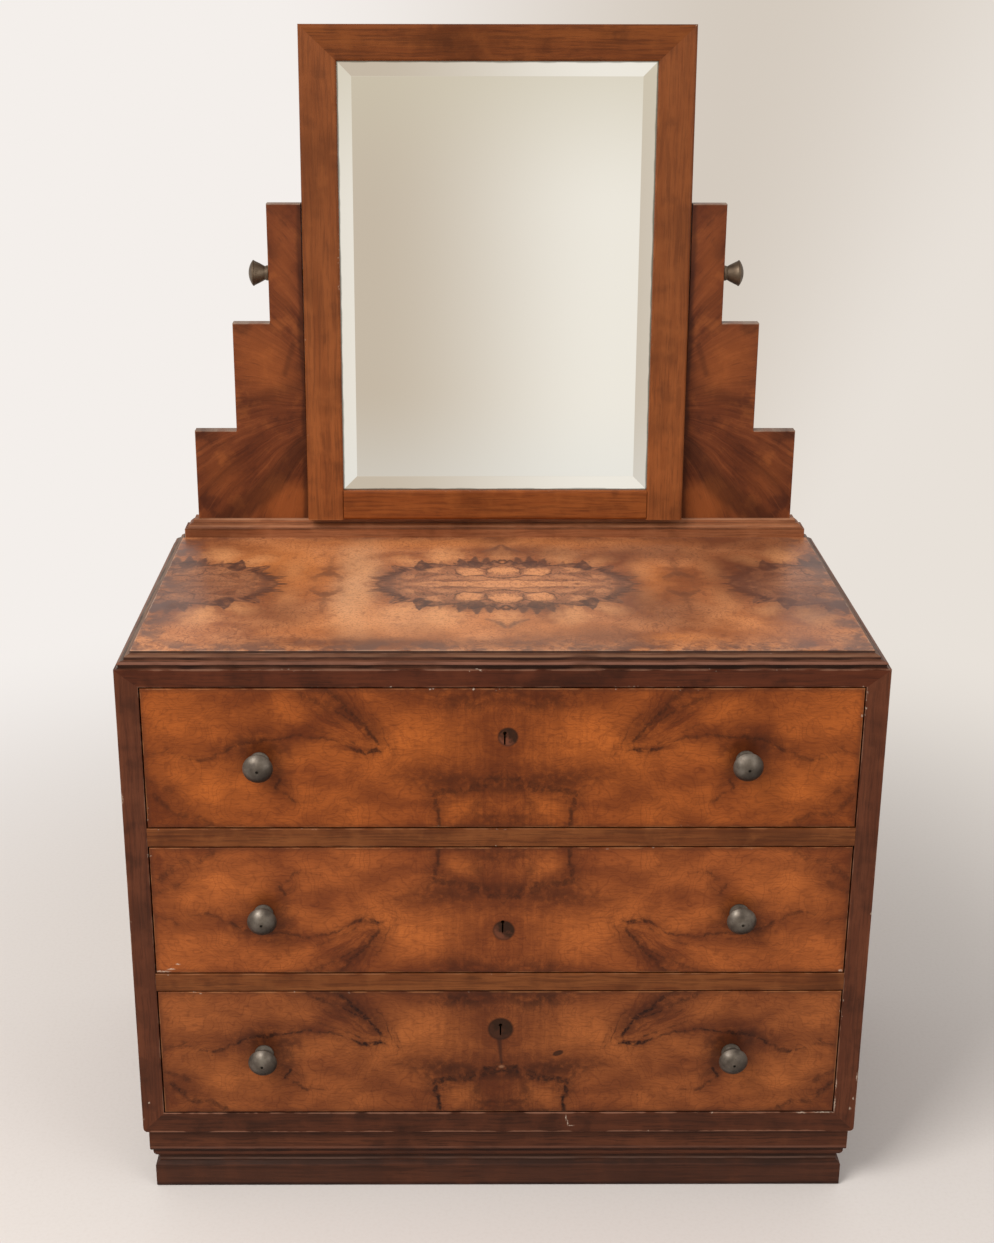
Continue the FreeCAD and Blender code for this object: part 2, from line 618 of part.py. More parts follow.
def thumb_knob(out):
    """A thumb screw: a flared knob outside the support, with a shank through to the mirror."""
    knob = pull_knob(flange=10.2, neck=9.2, head=THUMB_RADIUS, length=THUMB_PROJECTION, dome=6.0,
                     flare=0.46, shank_radius=SHANK_RADIUS, shank_length=SHANK_LENGTH)
    spot = Vector(out * (SUPPORT_STEPS[-1][0] + CLEARANCE), PIVOT_Y, PIVOT_Z)
    return aimed(knob, spot, Vector(out, 0, 0))


# ---------------------------------------------------------------- the whole object
def chest():
    """Every fixed piece of the chest and of the mirror stand."""
    upper = divider_rail(UPPER_DIVIDER)
    lower = divider_rail(LOWER_DIVIDER)
    holes = batten_screws(slotted=False)
    base_rail_seat = block(-HALF, HALF, FRONT + BASE_RAIL_FRONT, BACK, TOP_HEIGHT - BASE_RAIL_HOUSING,
                           TOP_HEIGHT)

    def drilled(shape):
        return shape.cut(holes)
    pieces = {
        "divider_rail_upper": upper,
        "divider_rail_lower": lower,
        "front_top_rail": bolt_mortises(mitred_rail(FRAME_TOP - TOP_RAIL_HEIGHT, FRAME_TOP)),
        "front_bottom_rail": mitred_rail(PLINTH_HEIGHT + BOTTOM_RAIL_HEIGHT, PLINTH_HEIGHT),
        "top_board": block(TOP_INSET - HALF, HALF - TOP_INSET, FRONT + TOP_INSET, BACK,
                           FRAME_TOP, TOP_HEIGHT),
        "back_panel": drilled(block(-PANEL_INNER - HOUSING, PANEL_INNER + HOUSING, BACK - BACK_THICKNESS,
                                    BACK, PLINTH_HEIGHT, FRAME_TOP)),
        "rear_rails": drilled(rear_rails()),
        "runners_and_kickers": runners_and_kickers(),
        "plinth_back": plinth_back(),
        "mirror_base_rail": drilled(base_rail()),
        "support_battens": drilled(support_battens()),
        "batten_screws": group(batten_screws(slotted=True)),
    }
    pieces["top_board"] = soften(pieces["top_board"], EDGE_ROUND,
                                 lambda c, d: near(c.z, TOP_HEIGHT) and not near(c.y, BACK))
    pieces["top_board"] = pieces["top_board"].cut(base_rail_seat)
    for run in ("front", "left", "right"):
        pieces[f"top_moulding_{run}"] = mitred_run(TOP_MOULDING, TOP_INSET, run)
        pieces[f"plinth_{run}"] = mitred_run(PLINTH_PROFILE, PLINTH_THICKNESS, run)
    for side, out in SIDES.items():
        pieces[f"side_panel_{side}"] = side_panel(out, (upper, lower))
        pieces[f"front_stile_{side}"] = front_stile(out)
        pieces[f"mirror_support_{side}"] = drilled(support(out))
    return pieces


def mirror():
    """The mirror's pieces, made upright and then leant back on the thumb screws' axis."""
    pieces = mirror_frame()
    pieces["mirror_glass"] = mirror_glass()
    pieces["mirror_back_board"] = mirror_back_board()
    pieces["pivot_plates"] = pivot_plates()
    for piece in pieces.values():
        piece.rotate(Vector(0, PIVOT_Y, PIVOT_Z), Vector(1, 0, 0), -MIRROR_LEAN)
    for side, out in SIDES.items():
        pieces[f"thumb_knob_{side}"] = thumb_knob(out)
    return pieces


nodes = chest()
for drawer_name in OPENINGS:
    nodes.update(drawer(drawer_name))
nodes.update(mirror())
for node_name, node_shape in nodes.items():
    node_shape.exportStep(f"parts/{node_name}.step")
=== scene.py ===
"""Looks of a walnut dressing chest: three drawers, a burr top and a mirror between stepped supports."""
from collections import namedtuple
from math import cos, radians, sin

import bpy
from mathutils import Matrix, Vector


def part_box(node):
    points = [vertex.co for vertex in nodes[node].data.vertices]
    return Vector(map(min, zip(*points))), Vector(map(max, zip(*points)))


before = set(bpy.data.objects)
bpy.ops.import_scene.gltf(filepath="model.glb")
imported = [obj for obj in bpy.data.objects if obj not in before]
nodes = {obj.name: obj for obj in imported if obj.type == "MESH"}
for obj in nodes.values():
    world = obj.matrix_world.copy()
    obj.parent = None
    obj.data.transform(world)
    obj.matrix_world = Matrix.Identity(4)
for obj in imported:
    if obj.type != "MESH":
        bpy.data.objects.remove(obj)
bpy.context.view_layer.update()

MILLIMETRES = 1000.0
MIRROR_LEAN = 3.5                    # degrees that the mirror's head leans back at rest
PIVOT = (0.0, 252.5, 1111.0)         # of the mirror, in millimetres


def tone(red, green, blue):
    """A display colour, 0 to 255 a channel, as the linear colour that a shader takes."""
    def linear(channel):
        share = channel / 255.0
        return share / 12.92 if share <= 0.04045 else ((share + 0.055) / 1.055) ** 2.4
    return (linear(red), linear(green), linear(blue), 1.0)


def tinted(colour, tint):
    """The linear colour times a tint of three shares."""
    return tuple(channel * share for channel, share in zip(colour, (*tint, 1.0)))


# ---- the bench: laying out shader nodes
class Bench:
    """Lays out one node tree. Sockets pass between its calls, and plain values are set on sockets;
    a colour of three channels is a display colour, and one of four is linear."""

    def __init__(self, tree):
        self.tree = tree

    def node(self, kind, inputs, **settings):
        made = self.tree.nodes.new("ShaderNode" + kind)
        for name, value in settings.items():
            setattr(made, name, value)
        for name, value in inputs.items():
            self.feed(made.inputs[name], value)
        return made

    def feed(self, socket, value):
        if isinstance(value, bpy.types.NodeSocket):
            self.tree.links.new(value, socket)
        elif socket.type == "RGBA" and len(value) == 3:
            socket.default_value = tone(*value)
        else:
            socket.default_value = value

    def maths(self, operation, *values, clamp=False):
        return self.node("Math", dict(enumerate(values)), operation=operation, use_clamp=clamp).outputs[0]

    def plus(self, first, second):
        return self.maths("ADD", first, second)

    def minus(self, first, second):
        return self.maths("SUBTRACT", first, second)

    def times(self, first, *others):
        for other in others:
            first = self.maths("MULTIPLY", first, other)
        return first

    def largest(self, values):
        first, *others = values
        for other in others:
            first = self.maths("MAXIMUM", first, other)
        return first

    def vector(self, operation, *values, **named):
        inputs = dict(enumerate(values))
        inputs.update(named)
        made = self.node("VectorMath", inputs, operation=operation)
        single = operation in ("LENGTH", "DOT_PRODUCT", "DISTANCE")
        return made.outputs["Value" if single else "Vector"]

    def step(self, value, low, high, bottom=0.0, top=1.0):
        """A soft step from bottom to top as the value goes from low to high."""
        inputs = {"Value": value, "From Min": low, "From Max": high, "To Min": bottom, "To Max": top}
        return self.node("MapRange", inputs, interpolation_type="SMOOTHSTEP").outputs["Result"]

    def band(self, value, low, high, soft):
        """One between low and high, falling off softly outside them."""
        return self.times(self.step(value, low - soft, low), self.step(value, high + soft, high))

    def split(self, vector):
        return self.node("SeparateXYZ", {"Vector": vector}).outputs

    def point(self, x, y, z=0.0):
        return self.node("CombineXYZ", {"X": x, "Y": y, "Z": z}).outputs["Vector"]

    def length(self, x, y):
        return self.vector("LENGTH", self.point(x, y))

    def stain(self, colour, over, mask, strength):
        """The colour with another laid over it where the mask is, at up to that strength."""
        share = self.maths("MULTIPLY", mask, strength, clamp=True)
        return self.node("Mix", {0: share, 6: colour, 7: over}, data_type="RGBA").outputs[2]

    def coats(self, colour, *stains):
        """The colour under several stains in turn, each given as (colour, mask, strength)."""
        for over, mask, strength in stains:
            colour = self.stain(colour, over, mask, strength)
        return colour

    def noise(self, vector, size, seed=0.0, detail=2.0, roughness=0.5):
        """Cloudy noise, with patches of about that size in millimetres: (value, colour)."""
        scale = self.maths("DIVIDE", 1.0, size) if isinstance(size, bpy.types.NodeSocket) else 1.0 / size
        inputs = {"Vector": vector, "W": seed, "Scale": scale, "Detail": detail, "Roughness": roughness}
        made = self.node("TexNoise", inputs, noise_dimensions="4D")
        return made.outputs["Fac"], made.outputs["Color"]

    def effect(self, group, **inputs):
        """One of the node groups below, placed with its own values."""
        made = self.tree.nodes.new("ShaderNodeGroup")
        made.node_tree = group
        for name, value in inputs.items():
            self.feed(made.inputs[name], value)
        return made.outputs

    def wandered(self, vector, reach, size, seed):
        """The vector led astray by up to about that reach, over clouds of that size."""
        return self.effect(wander, Vector=vector, Reach=reach, Size=size, Seed=seed)["Vector"]


def effect_group(name, gives, **takes):
    """Makes the function below it a node group of that name, which takes those inputs with
    those defaults and gives those outputs."""
    def lay_out(wire):
        tree = bpy.data.node_groups.new(name, "ShaderNodeTree")
        for label, default in takes.items():
            kind = "NodeSocketFloat" if isinstance(default, float) else "NodeSocketVector"
            tree.interface.new_socket(label, in_out="INPUT", socket_type=kind).default_value = default
        for label in gives:
            kind = "NodeSocketVector" if label == "Vector" else "NodeSocketFloat"
            tree.interface.new_socket(label, in_out="OUTPUT", socket_type=kind)
        given = tree.nodes.new("NodeGroupInput").outputs
        result = tree.nodes.new("NodeGroupOutput").inputs
        for label, value in zip(gives, wire(Bench(tree), *(given[label] for label in takes))):
            tree.links.new(value, result[label])
        return tree
    return lay_out


ORIGIN = (0.0, 0.0, 0.0)
FLAT = (1.0, 1.0, 0.0)      # strokes and patches lie on a flat leaf


@effect_group("wandering of the figure", ["Vector"], Vector=ORIGIN, Reach=5.0, Size=30.0, Seed=0.0)
def wander(bench, vector, reach, size, seed):
    centred = bench.vector("SUBTRACT", bench.noise(vector, size, seed)[1], (0.5, 0.5, 0.5))
    return [bench.vector("ADD", vector, bench.vector("SCALE", centred, Scale=bench.times(reach, 2.0)))]


@effect_group("stroke of figure", ["Mask", "Shade"], Vector=ORIGIN, From=ORIGIN, To=(10.0, 0.0, 0.0),
              Width=1.0, Softness=4.0, Taper=0.0)
def stroke(bench, vector, start, end, width, softness, taper):
    span = bench.vector("SUBTRACT", end, start)
    offset = bench.vector("MULTIPLY", bench.vector("SUBTRACT", vector, start), FLAT)
    share = bench.maths("DIVIDE", bench.vector("DOT_PRODUCT", offset, span),
                        bench.vector("DOT_PRODUCT", span, span), clamp=True)
    distance = bench.vector("DISTANCE", offset, bench.vector("SCALE", span, Scale=share))
    width = bench.times(width, bench.minus(1.0, bench.times(share, taper)))
    shade = bench.plus(width, bench.times(softness, 5.0))
    return [bench.step(distance, bench.plus(width, softness), width), bench.step(distance, shade, 0.0)]


@effect_group("oval patch", ["Mask", "Reach"], Vector=ORIGIN, Centre=ORIGIN, Radii=(10.0, 10.0, 10.0),
              Turn=0.0, Softness=0.4)
def patch(bench, vector, centre, radii, turn, softness):
    offset = bench.vector("MULTIPLY", bench.vector("SUBTRACT", vector, centre), FLAT)
    turned = bench.node("VectorRotate", {"Vector": offset, "Angle": turn}, rotation_type="Z_AXIS").outputs[0]
    reach = bench.vector("LENGTH", bench.vector("DIVIDE", turned, radii))
    return [bench.step(reach, bench.plus(1.0, softness), bench.minus(1.0, softness)), reach]


@effect_group("growth lines", ["Line", "Field"], Vector=ORIGIN, Size=60.0, Swirl=20.0, Lines=12.0, Seed=0.0)
def rings(bench, vector, size, swirl, lines, seed):
    swirled = bench.wandered(vector, swirl, bench.times(size, 1.4), seed)
    field = bench.noise(swirled, size, seed, detail=3.0)[0]
    wave = bench.maths("PINGPONG", bench.times(field, lines), 0.5)
    return [bench.step(wave, 0.16, 0.0), bench.step(field, 0.36, 0.64)]


@effect_group("straight fibre", ["Streak", "Pore"], Vector=ORIGIN, Reach=(120.0, 4.0, 4.0), Seed=0.0)
def fibre(bench, vector, reach, seed):
    scaled = bench.vector("DIVIDE", vector, reach)
    streak = bench.noise(scaled, 1.0, seed, detail=4.0, roughness=0.62)[0]
    close = bench.vector("MULTIPLY", scaled, (5.0, 4.0, 4.0))
    pore = bench.noise(close, 1.0, seed, detail=0.0)[0]
    return [bench.step(streak, 0.3, 0.7), bench.step(pore, 0.64, 0.78)]


@effect_group("worn edge", ["Rub", "Chip", "Distance"], Vector=ORIGIN, Low=ORIGIN, High=(100.0, 100.0, 100.0),
              Reach=3.0, Seed=0.0)
def worn_edge(bench, vector, low, high, reach, seed):
    from_low = bench.vector("ABSOLUTE", bench.vector("SUBTRACT", vector, low))
    from_high = bench.vector("ABSOLUTE", bench.vector("SUBTRACT", high, vector))
    near = bench.split(bench.vector("MINIMUM", from_low, from_high))
    lesser = bench.maths("MINIMUM", near["X"], near["Y"])
    greater = bench.maths("MAXIMUM", near["X"], near["Y"])
    distance = bench.maths("MAXIMUM", lesser, bench.maths("MINIMUM", greater, near["Z"]))
    cloud = bench.noise(vector, 26.0, seed, detail=3.0)[0]
    rub = bench.step(distance, bench.times(reach, bench.step(cloud, 0.36, 0.66)), 0.0)
    crumbs = bench.noise(vector, 4.5, seed, detail=1.0)[0]
    sparse = bench.noise(vector, 60.0, bench.plus(seed, 9.0))[0]
    broken = bench.times(bench.step(crumbs, 0.66, 0.72), bench.step(sparse, 0.54, 0.66))
    chip_reach = bench.times(reach, 1.4)
    chip = bench.times(broken, bench.step(distance, chip_reach, bench.times(chip_reach, 0.6)))
    return [rub, chip, distance]


@effect_group("scattered specks", ["Mask"], Vector=ORIGIN, Spacing=40.0, Size=2.0, Seed=0.0)
def specks(bench, vector, spacing, size, seed):
    scale = bench.maths("DIVIDE", 1.0, spacing)
    cell = bench.node("TexVoronoi", {"Vector": vector, "Scale": scale, "W": seed}, voronoi_dimensions="4D")
    share = bench.split(cell.outputs["Color"])["X"]
    reach = bench.maths("DIVIDE", bench.times(size, share), spacing)
    return [bench.step(cell.outputs["Distance"], reach, bench.times(reach, 0.5))]


# ---- finishes
def new_finish(name):
    """A fresh material: (material, its bench, its surface socket, the place on the piece in mm)."""
    material = bpy.data.materials.new(name)
    material.use_nodes = True
    material.node_tree.nodes.clear()
    bench = Bench(material.node_tree)
    output = bench.node("OutputMaterial", {})
    place = bench.node("TexCoord", {}).outputs["Object"]
    place = bench.vector("SCALE", place, Scale=MILLIMETRES)
    return material, bench, output.inputs["Surface"], place


def principled(bench, surface, inputs):
    bench.feed(surface, bench.node("BsdfPrincipled", inputs).outputs["BSDF"])


def polish(bench, surface, colour, roughness, height, relief=0.0002, coat=0.02, shine=0.1):
    """Polished wood: a satin body under a thin worn polish."""
    bump = bench.node("Bump", {"Height": height, "Distance": relief, "Strength": 0.6})
    principled(bench, surface, {"Base Color": colour, "Roughness": roughness, "Coat Weight": coat,
                                "Coat Roughness": 0.2, "Specular IOR Level": shine,
                                "Normal": bump.outputs["Normal"]})


def hung_upright(bench, place):
    """A place on the leaning mirror, turned to where it would be if the mirror hung upright."""
    return bench.node("VectorRotate", {"Vector": place, "Center": PIVOT, "Angle": radians(MIRROR_LEAN)},
                      rotation_type="X_AXIS").outputs[0]


def box_in_millimetres(node):
    low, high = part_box(node)
    return tuple(MILLIMETRES * v for v in low), tuple(MILLIMETRES * v for v in high)


def clothe(node, material):
    """Puts the finish on every material slot of a piece."""
    mesh = nodes[node].data
    if not mesh.materials:
        mesh.materials.append(material)
    for index in range(len(mesh.materials)):
        mesh.materials[index] = material


def along(bench, place, axis):
    """The place with its grain axis first."""
    parts = bench.split(place)
    order = {"X": ("X", "Y", "Z"), "Y": ("Y", "X", "Z"), "Z": ("Z", "X", "Y")}[axis]
    return bench.point(*(parts[name] for name in order))


# Sorts of walnut: dark streak, body, light streak and the colour of a rubbed edge.
STILE_WALNUT = ((46, 24, 15), (78, 40, 24), (98, 54, 34), (140, 104, 84))
HEAD_RAIL_WALNUT = ((38, 18, 10), (69, 31, 16), (90, 44, 24), (146, 106, 84))
TOP_MOULDING_WALNUT = ((40, 22, 14), (76, 42, 28), (104, 66, 48), (150, 116, 98))
# The side mouldings' walnut carries a painted reflection of a pale room: greyer and paler on the left, a
# little on the right.
SIDE_MOULDING_PAINTED_SHEEN = {
    "left": ((44, 30, 23), (86, 64, 52), (124, 106, 92), (176, 166, 154)),
    "right": ((40, 23, 16), (78, 47, 34), (110, 78, 60), (158, 132, 114)),
}
RAIL_WALNUT = ((66, 32, 14), (98, 51, 23), (124, 72, 36), (146, 98, 66))
# A darker copy of the frame's walnut for the front's bottom rail: painted shade low on the front.
FOOT_RAIL_SHADED_WALNUT = ((32, 17, 11), (60, 32, 20), (88, 46, 27), (150, 106, 84))
PLINTH_WALNUT = ((38, 20, 13), (70, 37, 23), (94, 52, 32), (128, 96, 80))
MIRROR_STILE_WALNUT = ((80, 42, 21), (124, 66, 31), (148, 84, 42), (152, 96, 56))
# A darker copy of the mirror's walnut for its head rail: painted shade at the mirror's head.
MIRROR_HEAD_SHADED_WALNUT = ((56, 25, 9), (98, 48, 18), (122, 66, 27), (146, 88, 50))
MIRROR_FOOT_WALNUT = ((76, 35, 14), (118, 59, 24), (142, 78, 34), (160, 104, 62))
BASE_RAIL_WALNUT = ((76, 40, 22), (130, 73, 42), (156, 100, 66), (184, 142, 108))
SIDE_WALNUT = ((56, 29, 15), (94, 51, 27), (122, 72, 41), (150, 116, 96))
PALE_CHIP = (196, 176, 156)

# Small losses in the polish: (middle x and z), (half width and half height).
MIDDLE_FRONT_KNOCKS = (((-420, 325), (8, 1.0)), ((-409, 328), (4, 0.8)), ((-400, 335), (2.4, 0.8)),
                       ((424, 325), (2, 1.4)))
STILE_KNOCKS = {
    "left": (((-447, 134), (1.0, 1.4)), ((-455.6, 560), (0.6, 5.0))),
    "right": (((429.8, 130), (0.7, 9)), ((429.8, 160), (0.6, 6)), ((455.6, 171), (0.8, 5)),
              ((453.4, 139), (0.9, 1.6)), ((450.0, 124), (1.2, 1.6))),
}
FOOT_RAIL_KNOCKS = (((417, 118.0), (11, 0.6)), ((388, 117.8), (5, 0.7)), ((86, 111), (0.7, 4)),
                    ((88, 104), (0.6, 4)), ((93, 99), (3, 0.5)))
MIRROR_HEAD_KNOCKS = (((259.8, 1430.8), (1.6, 1.6)),)

# Painted light and shade along a moulding, by height in millimetres: low, high, softness, colour and
# strength. The dark bands are painted shade in its hollows and at its foot; the pale ones are painted
# highlights, with some rubbing, on its noses and arrises.
TOP_MOULDING_LIGHT_AND_SHADE = (
    (726.8, 730.4, 0.5, (26, 14, 10), 0.85), (731.2, 733.4, 0.5, (124, 84, 68), 0.75),
    (735.0, 737.2, 0.5, (38, 20, 14), 0.85), (738.2, 739.6, 0.5, (122, 88, 66), 0.7),
    (739.6, 740.6, 0.4, (96, 62, 46), 0.5),
)
BASE_RAIL_LIGHT_AND_SHADE = (
    (742.0, 753.0, 3.0, (112, 62, 39), 0.3), (755.2, 757.4, 0.8, (66, 36, 23), 0.5),
    (759.0, 760.4, 0.6, (158, 110, 80), 0.45), (761.8, 763.6, 0.6, (80, 46, 31), 0.4),
    (766.4, 768.4, 0.5, (172, 126, 96), 0.55),
)
PLINTH_LIGHT_AND_SHADE = (
    (88.6, 90.2, 0.6, (150, 122, 104), 0.35), (79.0, 84.0, 4.0, (48, 27, 18), 0.5),
    (61.6, 63.4, 1.0, (112, 76, 62), 0.5), (55.0, 59.6, 1.4, (30, 17, 12), 0.8),
    (49.0, 52.0, 2.0, (84, 46, 32), 0.5), (-5.0, 45.0, 2.0, (46, 33, 29), 0.55),
    (33.0, 45.6, 1.2, (42, 25, 17), 0.7), (37.8, 40.0, 0.8, (116, 88, 76), 0.5),
    (26.0, 29.0, 2.0, (52, 28, 18), 0.5), (8.0, 24.0, 6.0, (80, 44, 28), 0.35),
    (0.0, 3.6, 3.0, (30, 18, 14), 0.7),
)


def knocked(bench, colour, place, face, knocks):
    """The colour with small pale losses on the face at that y, each given by its middle and
    half size, x and z."""
    parts = bench.split(place)
    flat = bench.point(parts["X"], parts["Z"])
    ragged = bench.wandered(flat, 1.8, 3.0, 1.0)
    losses = lay_patches(bench, ragged, [(middle, reach, 0, 0.7, 1.0) for middle, reach in knocks])
    losses = bench.times(losses, bench.step(parts["Y"], face + 2.5, face + 0.5))
    crumbs = bench.noise(flat, 3.0, 2.0, detail=2.0)[0]
    return bench.stain(colour, PALE_CHIP, losses, bench.step(crumbs, 0.35, 0.6, 0.25, 0.7))


def straight_walnut(node, sort, axis, seed, edge, spacing=3.2, chips=0.5, contrast=0.6, box=None, lines=(),
                    shade=None, knocks=()):
    """Straight-grained walnut on one piece, its arrises rubbed and here and there chipped.
    A box marks a piece of the mirror, by its corners where the mirror hangs upright. A shade is (axis, from,
    to, strength): painted shade, the piece drawn darker along that axis between those places."""
    material, bench, surface, place = new_finish("walnut on " + node.replace("_", " "))
    dark, body, light, rubbed = sort
    low, high = box or box_in_millimetres(node)
    if box:
        place = hung_upright(bench, place)
    grain = bench.wandered(along(bench, place, axis), 4.0, 90.0, seed)
    fine = bench.effect(fibre, Vector=grain, Reach=(90.0, spacing, spacing), Seed=seed)
    broad = bench.effect(fibre, Vector=grain, Reach=(220.0, spacing * 4.0, spacing * 4.0), Seed=seed + 3.0)
    blotch = bench.noise(place, 110.0, seed, detail=3.0)[0]
    daub = bench.noise(place, 26.0, seed + 5.0, detail=3.0)[0]
    colour = bench.coats(
        body,
        (light, broad["Streak"], 0.7),
        (dark, bench.step(fine["Streak"], 0.6, 0.1), contrast),
        (dark, bench.step(blotch, 0.52, 0.32), 0.5),
        (light, bench.step(daub, 0.5, 0.72), 0.45),
        (dark, bench.step(daub, 0.46, 0.28), 0.4),
        (dark, fine["Pore"], 0.35),
    )
    parts = bench.split(place)
    # Painted shade: darker along the given axis.
    if shade:
        shade_axis, start, end, strength = shade
        colour = bench.stain(colour, dark, bench.step(parts[shade_axis], start, end), strength)
    wear = bench.effect(worn_edge, Vector=place, Low=low, High=high, Reach=edge, Seed=seed)
    colour = bench.stain(colour, rubbed, wear["Rub"], 0.6)
    # Painted shade and highlight bands along the piece, broken here and there.
    for index, (foot, head, soft, line, strength) in enumerate(lines):
        level = bench.vector("MULTIPLY", place, (1.0, 1.0, 0.1))
        gaps = bench.noise(level, 60.0, seed + index, detail=4.0)[0]
        drift = bench.plus(parts["Z"], bench.step(gaps, 0.3, 0.7, -0.4, 0.4))
        mask = bench.times(bench.band(drift, foot, head, soft), bench.step(gaps, 0.3, 0.6, 0.3, 1.0))
        colour = bench.stain(colour, line, mask, strength)
    colour = bench.stain(colour, PALE_CHIP, wear["Chip"], chips)
    if knocks:
        colour = knocked(bench, colour, place, low[1], knocks)
    polish(bench, surface, colour, bench.step(blotch, 0.3, 0.7, 0.4, 0.56), fine["Streak"])
    clothe(node, material)


# ---- figured veneer of the drawer fronts
# The figure is given on one leaf: millimetres out from the book-match line, and up the leaf.
FIGURE_STROKES = (
    # from, to, half width, softness, strength
    ((149, 109), (166, 135), 0.6, 3.5, 0.9), ((166, 135), (190, 158), 1.0, 4.0, 0.85),
    ((190, 158), (214, 183), 0.6, 5.0, 0.7), ((167, 133), (206, 156), 0.2, 2.5, 0.7),
    ((206, 156), (250, 178), 0.5, 4.0, 0.6), ((149, 104), (166, 102), 1.6, 2.2, 1.0),
    ((166, 102), (182, 105), 1.2, 2.4, 0.9), ((182, 105), (204, 114), 0.4, 2.4, 0.8),
    ((204, 114), (248, 122), 0.2, 2.2, 0.6), ((248, 122), (280, 119), 0.3, 2.6, 0.65),
    ((280, 119), (308, 114), 1.2, 5.0, 0.75), ((308, 114), (332, 103), 0.8, 4.0, 0.7),
    ((332, 103), (368, 90), 0.3, 3.5, 0.55), ((368, 90), (412, 101), 0.2, 3.0, 0.4),
    ((180, 112), (205, 121), 0.2, 2.0, 0.5), ((205, 121), (232, 132), 0.2, 2.0, 0.4),
    ((269, 66), (274, 52), 0.8, 3.0, 0.7), ((274, 52), (254, 37), 0.3, 2.4, 0.6),
    ((254, 37), (230, 36), 0.3, 2.0, 0.5), ((421, 44), (390, 22), 0.8, 6.0, 0.6),
    ((390, 22), (352, 6), 0.6, 6.0, 0.5), ((426, 66), (400, 50), 0.4, 5.0, 0.4),
    ((426, 98), (402, 104), 0.5, 5.0, 0.4), ((138, 104), (144, 128), 0.1, 1.3, 0.5),
    ((132, 98), (137, 122), 0.1, 1.3, 0.45), ((144, 128), (158, 150), 0.1, 1.5, 0.4),
    ((126, 94), (130, 116), 0.1, 1.3, 0.35), ((196, 134), (224, 150), 0.2, 2.0, 0.35),
)
CABINET_STROKES = (
    ((81, -2), (79, 22), 0.8, 3.4, 0.8), ((79, 22), (84, 44), 1.2, 3.6, 0.75),
    ((84, 44), (66, 50), 2.0, 5.0, 0.7), ((66, 50), (36, 56), 2.4, 7.0, 0.65),
    ((36, 56), (0, 66), 4.0, 9.0, 0.7), ((30, 52), (20, 62), 2.0, 6.0, 0.6),
    ((84, 46), (100, 62), 0.5, 5.0, 0.4), ((60, 2), (38, 4), 1.0, 4.0, 0.5),
    ((27, 0), (36, 46), 2.0, 8.0, 0.35),
)
FIGURE_PATCHES = (
    # centre, radii, turn in degrees, softness, strength
    ((307, 113), (26, 10), 15, 0.8, 0.6), ((274, 92), (22, 24), 0, 0.8, 0.5),
    ((50, 166), (34, 12), -10, 0.9, 0.75), ((14, 174), (36, 12), 0, 0.9, 0.6),
    ((12, 60), (34, 10), 0, 0.8, 0.75), ((262, 58), (12, 10), 0, 0.8, 0.4),
    ((14, 10), (22, 10), 0, 0.9, 0.6), ((196, 160), (44, 14), -38, 0.9, 0.5),
    ((78, 36), (14, 14), 0, 0.9, 0.4), ((60, 64), (54, 10), -6, 0.9, 0.6),
)
LIGHT_PATCHES = (
    ((345, 56), (60, 34), -20, 0.9, 0.9), ((116, 104), (76, 50), 0, 0.9, 1.0),
    ((54, 25), (18, 14), 0, 0.8, 0.8), ((232, 98), (50, 16), 10, 0.9, 0.6),
    ((392, 140), (50, 36), 0, 0.9, 0.7), ((250, 152), (70, 14), 6, 0.9, 0.5),
    ((190, 36), (70, 30), 0, 0.9, 0.5), ((176, 118), (20, 8), 28, 0.8, 0.8),
)
# The broad brown shadows about the crotch, the cabinet and the head of the match.
SHADOW_PATCHES = (
    ((50, 66), (90, 22), -6, 0.9, 0.8), ((30, 178), (110, 22), 0, 0.9, 0.8),
    ((186, 148), (44, 26), -38, 0.9, 0.7), ((300, 108), (60, 20), 10, 0.9, 0.7),
    ((8, 6), (34, 22), 0, 0.9, 0.6), ((150, 48), (26, 18), 0, 0.9, 0.5),
    ((420, 30), (40, 50), 0, 0.9, 0.5), ((10, 128), (24, 26), 0, 0.9, 0.4),
)


def laid_stroke(bench, leaf, start, end, width, softness, taper=0.0):
    return bench.effect(stroke, Vector=leaf, From=(*start, 0.0), To=(*end, 0.0), Width=float(width),
                        Softness=float(softness), Taper=taper)


def laid_oval(bench, leaf, centre, radii, turn, softness):
    return bench.effect(patch, Vector=leaf, Centre=(*centre, 0.0), Radii=(*radii, 1.0), Turn=radians(turn),
                        Softness=softness)


def lay_strokes(bench, leaf, strokes, taper=0.0):
    """All of the strokes in two masks: their own marks, and the shade that spreads about them."""
    marks = []
    shades = []
    for *form, strength in strokes:
        laid = laid_stroke(bench, leaf, *form, taper)
        marks.append(bench.times(laid["Mask"], strength))
        shades.append(bench.times(laid["Shade"], strength))
    return bench.largest(marks), bench.largest(shades)


def lay_patches(bench, leaf, patches):
    """All of the patches in one mask."""
    return bench.largest([bench.times(laid_oval(bench, leaf, *form)["Mask"], strength)
                          for *form, strength in patches])


HOOK = (150.0, 106.0)        # the point that the crotch figure springs from
HOOK_ARC = 60.0              # how many millimetres of fibre a radian about it takes up


